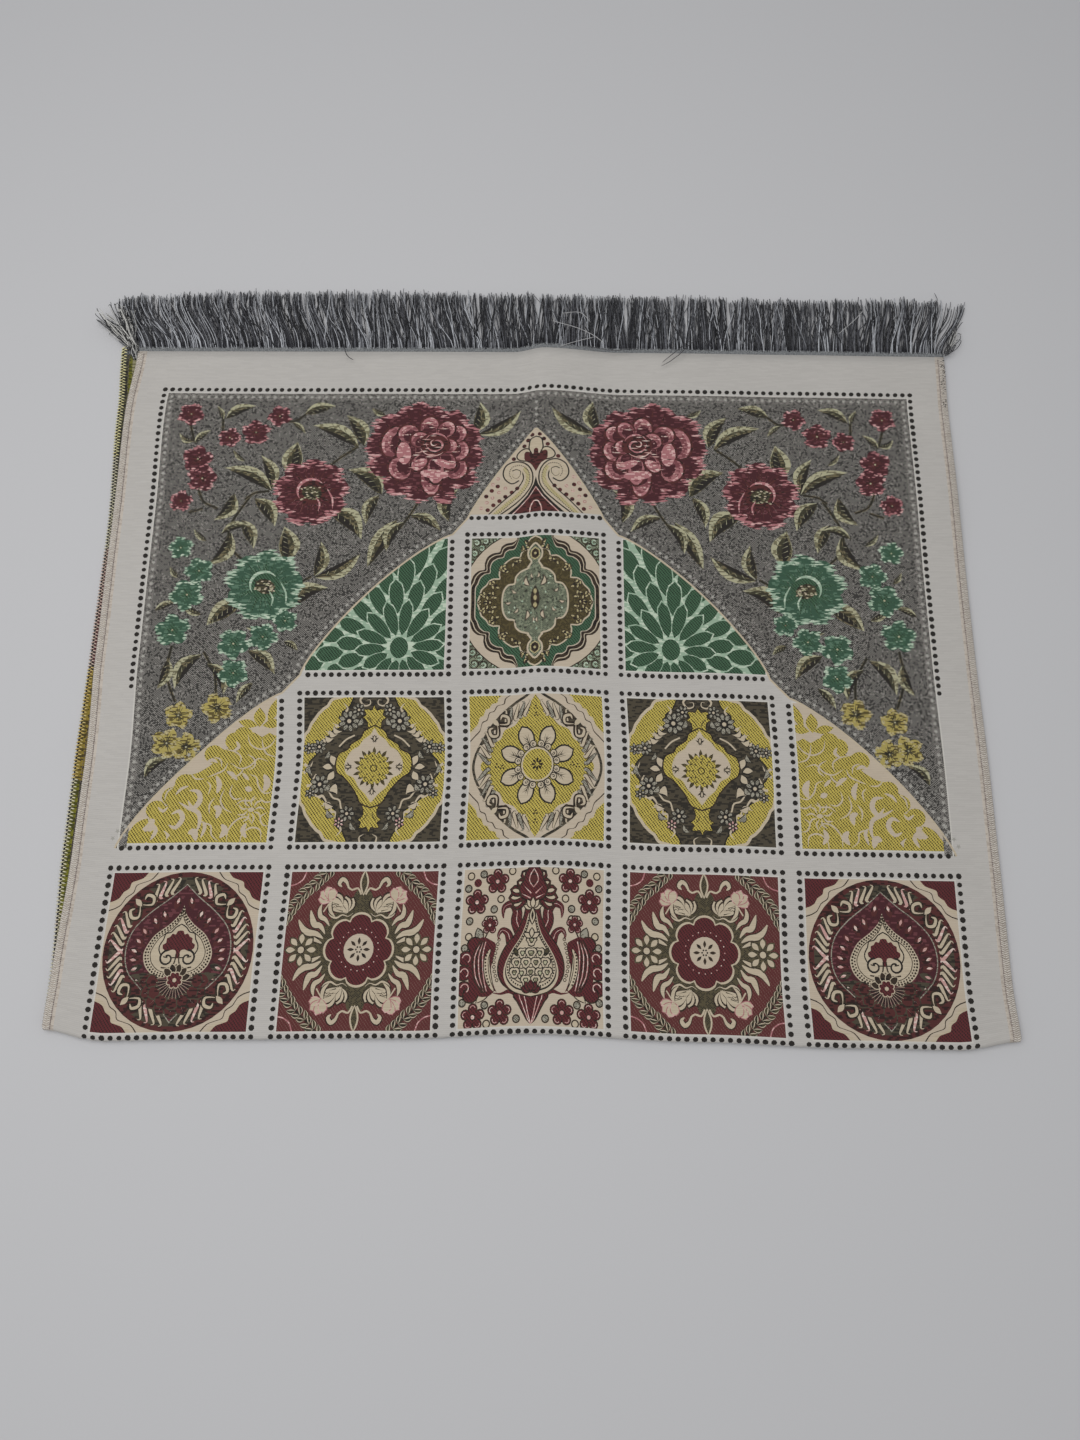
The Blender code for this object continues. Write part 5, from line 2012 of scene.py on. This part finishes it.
class Nodes:
    """Small helper that adds and joins the nodes of one material."""

    def __init__(self, material):
        material.use_nodes = True
        self.tree = material.node_tree
        self.shader = self.tree.nodes["Principled BSDF"]

    def add(self, kind, inputs=(), output=0, **settings):
        made = self.tree.nodes.new(kind)
        for name, value in settings.items():
            setattr(made, name, value)
        for socket, value in inputs:
            self.put(made.inputs[socket], value)
        return made.outputs[output]

    def put(self, socket, value):
        if isinstance(value, bpy.types.NodeSocket):
            self.tree.links.new(value, socket)
        else:
            socket.default_value = value

    def maths(self, operation, *values):
        return self.add("ShaderNodeMath", list(enumerate(values)), operation=operation)

    def plus(self, *values):
        return self.maths("ADD", *values)

    def times(self, *values):
        return self.maths("MULTIPLY", *values)

    def value_mix(self, share, first, second):
        return self.add("ShaderNodeMix", ((0, share), (2, first), (3, second)), 0, data_type="FLOAT")

    def mix(self, share, first, second):
        return self.add("ShaderNodeMix", ((0, share), (6, first), (7, second)), 2, data_type="RGBA")

    def attribute(self, name, output):
        return self.add("ShaderNodeAttribute", (), output, attribute_name=name)

    def cells(self, across, along):
        """Random value that is steady within a cell."""
        spot = self.add("ShaderNodeCombineXYZ", ((0, self.maths("FLOOR", across)),
                (1, self.maths("FLOOR", along))))
        return self.add("ShaderNodeTexWhiteNoise", ((0, spot),), "Value", noise_dimensions="2D")

    def ramp(self, value, stops):
        made = self.tree.nodes.new("ShaderNodeValToRGB")
        for number, (place, colour) in enumerate(stops):
            stop = made.color_ramp.elements[number] if number < 2 else made.color_ramp.elements.new(place)
            stop.position = place
            stop.color = linear(colour) + (1.0,)
        self.put(made.inputs[0], value)
        return made.outputs[0]

    def finish(self, colour, roughness, raised=None, bump=(0.5, 0.0003), specular=0.2, sheen=0.0):
        """Join the colour, roughness and relief; bump holds its strength and its depth in metres."""
        for socket, value in (("Base Color", colour), ("Roughness", roughness),
                              ("Specular IOR Level", specular), ("Sheen Weight", sheen)):
            self.put(self.shader.inputs[socket], value)
        if raised is not None:
            strength, depth = bump
            normal = self.add("ShaderNodeBump", (("Strength", strength), ("Distance", depth),
                    ("Height", raised)))
            self.put(self.shader.inputs["Normal"], normal)


# Weave, in millimetres: width and height of its cells
PICK = 1.2
GRAIN = (0.95, 0.85)
RIB = 1.4
TWILL = 2.5
TWILL_SHIFT = 0.95
DASH = 2.8
STREAK = 9.0


def weave_finish():
    """Jacquard cloth: two yarns in plain ribs, twill specks, grain or level dashes."""
    material = bpy.data.materials.new("woven_cloth")
    nodes = Nodes(material)
    across = nodes.add("ShaderNodeSeparateXYZ", ((0, nodes.attribute("flat", "Vector")),), "X")
    along = across.node.outputs["Y"]
    noise_place = nodes.add("ShaderNodeCombineXYZ",
            ((0, nodes.times(across, 0.05)), (1, nodes.times(along, 1.1))))
    slub = nodes.add("ShaderNodeTexNoise", ((0, noise_place), (2, 1.0), (3, 2.0)), "Fac")
    weft = nodes.times(along, 1 / PICK)
    lane = nodes.maths("FLOOR", weft)
    lane_shift = nodes.add("ShaderNodeTexWhiteNoise", ((1, lane),), "Value", noise_dimensions="1D")
    twill = nodes.plus(across, nodes.times(lane, TWILL_SHIFT))
    twill = nodes.maths("FRACT", nodes.maths("DIVIDE", twill, TWILL))
    loose = nodes.cells(nodes.times(across, 1.3), weft)
    twill = nodes.plus(nodes.times(twill, 0.86), nodes.times(loose, 0.14))
    threads = [nodes.times(way, 1 / size) for way, size in zip((across, along), GRAIN)]
    odd = nodes.plus(*(nodes.maths("FLOOR", thread) for thread in threads))
    odd = nodes.maths("FRACT", nodes.times(odd, 0.5))
    grain = nodes.plus(nodes.times(odd, 0.8), nodes.times(nodes.cells(*threads), 0.6))
    dash = nodes.cells(nodes.plus(nodes.times(across, 1 / DASH), nodes.times(lane_shift, 7.0)), weft)
    kind = nodes.attribute("fleck", "Alpha")
    value = slub
    for number, pattern in enumerate((twill, grain, dash)):
        value = nodes.value_mix(nodes.maths("GREATER_THAN", kind, (number + 0.5) / 4), value, pattern)
    speck = nodes.maths("LESS_THAN", value, nodes.attribute("yarn", "Alpha"))
    plain = nodes.maths("LESS_THAN", kind, 0.1)
    speck = nodes.value_mix(plain, speck, nodes.maths("SUBTRACT", slub, 0.3))
    colour = nodes.mix(speck, nodes.attribute("yarn", "Color"), nodes.attribute("fleck", "Color"))
    # Weft ribs: their profile is the bump's height and, below, painted shade in the colour.
    rib_relief_and_painted_shade = nodes.maths("ABSOLUTE", nodes.maths("SINE", nodes.times(along, math.pi / RIB)))
    place = nodes.add("ShaderNodeTexCoord", (), "Object")
    cloudy = nodes.add("ShaderNodeTexNoise", ((0, place), (2, 14.0), (3, 3.0)), "Fac")
    streak = nodes.cells(nodes.plus(nodes.times(across, 1 / STREAK), nodes.times(lane_shift, 5.0)), weft)
    # Brightness of the yarn colour: the rib term is painted shade, darker in the grooves between the weft
    # ribs and lighter on their crests, over the ribs' own bump; the cloud, streak and slub terms are the
    # yarn's own uneven tone.
    shade = nodes.plus(nodes.times(rib_relief_and_painted_shade, 0.08), nodes.times(cloudy, 0.10))
    shade = nodes.plus(shade, nodes.times(streak, 0.06))
    shade = nodes.plus(shade, nodes.plus(nodes.times(slub, 0.16), 0.79))
    colour = nodes.add("ShaderNodeVectorMath", ((0, colour), (3, shade)), 0, operation="SCALE")
    raised = nodes.plus(nodes.times(rib_relief_and_painted_shade, 0.5), nodes.times(speck, 0.35))
    raised = nodes.plus(raised, nodes.times(slub, 0.6))
    rough = nodes.plus(0.80, nodes.times(cloudy, 0.15))
    nodes.finish(colour, rough, raised, (0.55, 0.00022), 0.25, 0.12)
    return material


def yarn_finish(name, shades, twist=700.0):
    """Spun yarn: a shade of its own for every thread, with a fine uneven twist."""
    material = bpy.data.materials.new(name)
    nodes = Nodes(material)
    place = nodes.add("ShaderNodeTexCoord", (), "Object")
    fibre = nodes.add("ShaderNodeTexNoise", ((0, place), (2, twist), (3, 3.0)), "Fac")
    tint = nodes.attribute("tint", "Fac")
    tint = nodes.plus(tint, nodes.times(nodes.maths("SUBTRACT", fibre, 0.5), 0.45))
    shades = table(shades)
    stops = [(number / (len(shades) - 1), shade) for number, shade in enumerate(shades)]
    nodes.finish(nodes.ramp(tint, stops), 0.9, fibre, sheen=0.15)
    return material


def heading_finish():
    """Woven heading: grey yarns with a fine darker and lighter mottle."""
    material = bpy.data.materials.new("heading_weave")
    nodes = Nodes(material)
    place = nodes.add("ShaderNodeTexCoord", (), "Object")
    spread = nodes.add("ShaderNodeMapping", ((0, place), (3, (1.6, 0.9, 0.2))))
    mottle = nodes.add("ShaderNodeTexNoise", ((0, spread), (2, 900.0), (3, 2.0)), "Fac")
    shades = ((0.3, (88, 89, 91)), (0.5, (117, 119, 120)), (0.72, (142, 143, 143)))
    nodes.finish(nodes.ramp(mottle, shades), 0.9, mottle)
    return material


def floor_finish(colour):
    """Plain pale matt floor."""
    material = bpy.data.materials.new("pale_floor")
    Nodes(material).finish(tuple(colour) + (1.0,), 0.85)
    return material


# Settings that a user would change

def length_setting(name, description, default, low, high):
    return bpy.props.FloatProperty(name=name, description=description, default=default, min=low, max=high,
                                   unit="LENGTH")


def count_setting(name, description, default, low, high):
    return bpy.props.IntProperty(name=name, description=description, default=default, min=low, max=high)


class RugEdges(bpy.types.PropertyGroup):
    """Sizes of the overlocked long edges."""

    band: length_setting("Band", "Width of the overlock", 0.0056, 0.003, 0.0079)
    under_band: length_setting("Under band", "Width of the under layer's overlock", 0.0052, 0.003, 0.0079)
    pitch: length_setting("Pitch", "Distance between stitches", 0.0016, 0.001, 0.004)
    thread: length_setting("Thread", "Thickness of the overlock thread", 0.00078, 0.0003, 0.0015)


class RugFringe(bpy.types.PropertyGroup):
    """Sizes of the fringes."""

    length: length_setting("Length", "Length of a yarn beyond its heading", 0.060, 0.02, 0.065)
    yarn: length_setting("Yarn", "Thickness of a yarn", 0.00105, 0.0004, 0.0011)
    upper_yarns: count_setting("Upper yarns", "Yarns of the upper fringe", 1020, 200, 2000)
    under_yarns: count_setting("Under yarns", "Yarns of the under fringe", 760, 100, 2000)


class RugStage(bpy.types.PropertyGroup):
    """Floor and light of the stage."""

    floor: bpy.props.FloatVectorProperty(name="Floor", description="Colour of the floor", subtype="COLOR",
                                         default=(0.555, 0.55, 0.555), size=3, min=0, max=1)
    light: bpy.props.FloatProperty(name="Light", description="Power of the soft light overhead",
                                   default=12.5, min=0, max=200, unit="POWER")
    ambient: bpy.props.FloatProperty(name="Ambient", description="Strength of the light from all round",
                                     default=0.45, min=0, max=3)


class MakeWovenCloth(bpy.types.Operator):
    """Make the folded cloth with its woven design"""

    bl_idname = "rug.woven_cloth"
    bl_label = "Woven cloth"

    def execute(self, context):
        mesh = make_sheet_mesh()
        mesh.materials.append(weave_finish())
        piece = bpy.data.objects.new("woven_cloth", mesh)
        context.scene.collection.objects.link(piece)
        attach(piece, "root")
        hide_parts("cloth")
        return {"FINISHED"}


class MakeOverlock(bpy.types.Operator):
    """Sew the overlock stitches round the four long edges"""

    bl_idname = "rug.overlock"
    bl_label = "Overlocked edges"

    def execute(self, context):
        sizes = context.scene.rug_edges
        pale = yarn_finish("serging_yarn", "198,189,179 216,209,199 228,221,211")
        beads = yarn_finish("under_edge_yarn", "214,186,172 216,210,186 236,229,172 210,182,104")
        needle = yarn_finish("needle_thread", "104,86,92 142,124,124")
        ends = yarn_finish("thread_ends", "24,24,26 84,84,86 174,173,170 222,220,214")
        yarns = yarn_finish("loose_yarn", "34,32,34 96,95,98 190,189,188", FRINGE_TWIST)
        for side, side_name in ((-1, "left"), (1, "right")):
            for half, layer in ((1, "upper"), (-1, "under")):
                spread = random.Random(20 + side + 3 * half)
                band = (sizes.band if half > 0 else sizes.under_band) / MM
                edge = layer + "_" + side_name
                lace = edge == "under_left"
                pitch = sizes.pitch / MM * (LACE_PITCH if lace else 1.0)
                runs = stitch_runs(half, pitch, LACE_BEYOND if lace else 0.0)
                paths = stitch_paths(side, half, band, runs, LACE_OUT if lace else 0.0, spread)
                tints = edge_tints(half, side, numpy.repeat(runs, 2), spread)
                thread = sizes.thread * (LACE_THREAD if lace else 1.0)
                self.sew("overlock_" + edge, paths, thread, tints, beads if lace else pale, spread)
                paths = chain_paths(side, half, band * 0.97, pitch, spread)
                tints = [spread.uniform(0.2, 0.8) for _ in paths]
                self.sew("needle_row_" + edge, paths, sizes.thread * 0.6, tints, needle, spread)
        # A near-black tube runs under the lace stitches and darkens the gaps between them.
        paths = dark_underlay_paths(-1, LACE_OUT)
        self.sew("overlock_core_left", paths, LACE_OUT * 0.75 * MM, [0.05] * len(paths), ends, spread)
        spread = random.Random(7)
        paths = corner_end_paths(spread)
        tints = [spread.choice((0.0, 0.05, 0.3, 0.8, 0.98)) for _ in paths[:-SPECKS]] + [0.0] * SPECKS
        self.sew("corner_ends", paths, sizes.thread * 0.78, tints, ends, spread)
        paths = [through(table(points), FRINGE_STEPS + 1) for _, points in LOOSE_YARNS]
        tints = [tint for tint, _ in LOOSE_YARNS]
        self.sew("loose_yarns", paths, sizes.thread * 0.8, tints, yarns, spread)
        return {"FINISHED"}

    @staticmethod
    def sew(name, paths, thickness, tints, finish, spread):
        """Make one bundle of threads, thinner at both ends."""
        shape = [0.5] + [1.0] * (len(paths[0]) - 3) + [0.9, 0.45]
        radii = [[thickness / 2 * part * spread.uniform(0.85, 1.1) for part in shape] for _ in paths]
        towards = (1.0, 0.0, 0.0) if name.startswith(("needle_row", "overlock_core")) else (0.0, 1.0, 0.02)
        if name in ("corner_ends", "loose_yarns"):
            towards = (0.0, 0.05, 1.0)
        piece = make_threads(name, paths, radii, 4, towards)
        tint_threads(piece, tints)
        piece.data.materials.append(finish)
        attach(piece, "root")


class MakeFringe(bpy.types.Operator):
    """Make the woven headings and their fringes"""

    bl_idname = "rug.fringe"
    bl_label = "Headings and fringes"

    def execute(self, context):
        sizes = context.scene.rug_fringe
        yarn = yarn_finish("fringe_yarn", "26,26,29 54,54,59 112,113,118 196,198,202", FRINGE_TWIST)
        heading = heading_finish()
        for layer, count in (("upper", sizes.upper_yarns), ("under", sizes.under_yarns)):
            spread = random.Random(count)
            fringe = make_fringe("fringe_" + layer + "_yarns", layer, count, spread)
            band = make_heading("heading_" + layer, layer)
            for piece, finish in ((fringe, yarn), (band, heading)):
                piece.data.materials.append(finish)
                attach(piece, "root")
                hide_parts("fringe_" + layer)
        return {"FINISHED"}


class MakeRugStage(bpy.types.Operator):
    """Set the floor, the light and the camera"""

    bl_idname = "rug.stage"
    bl_label = "Stage"

    def execute(self, context):
        settings = context.scene.rug_stage
        floor = bmesh.new()
        bmesh.ops.create_grid(floor, x_segments=1, y_segments=1, size=FLOOR_REACH)
        plane = add_piece("floor", floor)
        plane.data.materials.append(floor_finish(settings.floor))
        light = bpy.data.lights.new("overhead", "AREA")
        light.shape = "DISK"
        light.size = LAMP_WIDTH
        light.energy = settings.light
        lamp = bpy.data.objects.new("overhead", light)
        lamp.location = LAMP_PLACE
        lamp.rotation_euler = (-lamp.location).to_track_quat("-Z", "Y").to_euler()
        context.scene.collection.objects.link(lamp)
        world = bpy.data.worlds.new("studio")
        world.use_nodes = True
        sky = world.node_tree.nodes["Background"]
        sky.inputs["Color"].default_value = (0.95, 0.97, 1.0, 1.0)
        sky.inputs["Strength"].default_value = settings.ambient
        context.scene.world = world
        context.scene.view_settings.view_transform = "Standard"
        make_camera(context.scene)
        return {"FINISHED"}


def make_camera(scene):
    """Camera where the photograph was taken from."""
    tilt, yaw, roll = (math.radians(turn) for turn in CAMERA_TURNS)
    rightward = Vector((math.cos(yaw), math.sin(yaw), 0.0))
    forward = Vector((-math.sin(yaw) * math.sin(tilt), math.cos(yaw) * math.sin(tilt), -math.cos(tilt)))
    upward = Vector((-math.sin(yaw) * math.cos(tilt), math.cos(yaw) * math.cos(tilt), math.sin(tilt)))
    right = rightward * math.cos(roll) + upward * math.sin(roll)
    up = upward * math.cos(roll) - rightward * math.sin(roll)
    camera = bpy.data.cameras.new("camera")
    camera.sensor_fit = "VERTICAL"
    camera.sensor_height = 24.0
    camera.lens = 18.0
    camera.clip_start = 0.01
    eye = bpy.data.objects.new("camera", camera)
    place = Matrix((right, up, -forward)).transposed().to_4x4()
    place.translation = Vector(CAMERA_PLACE) + to_frame()
    eye.matrix_world = place
    scene.collection.objects.link(eye)
    scene.camera = eye


# Stage, in metres, and the camera: place in the rug's own coordinates, then tilt, yaw and roll
# in degrees
FLOOR_REACH = 6.0
LAMP_PLACE = (-0.33, -0.05, 1.4)
LAMP_WIDTH = 1.6
CAMERA_PLACE = (0.00825, -0.0010, 0.8111)
CAMERA_TURNS = (16.945, 0.856, -0.455)


class RUG_PT_builder(bpy.types.Panel):
    """Buttons that build the rug, with its settings"""

    bl_label = "Folded prayer rug"
    bl_space_type = "VIEW_3D"
    bl_region_type = "UI"
    bl_category = "Rug"

    def draw(self, context):
        for operator in OPERATORS:
            self.layout.operator(operator.bl_idname)
        for name, group in SETTINGS.items():
            for setting in group.__annotations__:
                self.layout.prop(getattr(context.scene, name), setting)


OPERATORS = (MakeWovenCloth, MakeOverlock, MakeFringe, MakeRugStage)
SETTINGS = {"rug_edges": RugEdges, "rug_fringe": RugFringe, "rug_stage": RugStage}
CLASSES = tuple(SETTINGS.values()) + OPERATORS + (RUG_PT_builder,)


def register():
    for group in CLASSES:
        bpy.utils.register_class(group)
    for name, group in SETTINGS.items():
        setattr(bpy.types.Scene, name, bpy.props.PointerProperty(type=group))


def unregister():
    for name in SETTINGS:
        delattr(bpy.types.Scene, name)
    for group in reversed(CLASSES):
        bpy.utils.unregister_class(group)


def main():
    register()
    bpy.ops.rug.woven_cloth()
    bpy.ops.rug.overlock()
    bpy.ops.rug.fringe()
    bpy.ops.rug.stage()


if __name__ == "__main__":
    main()
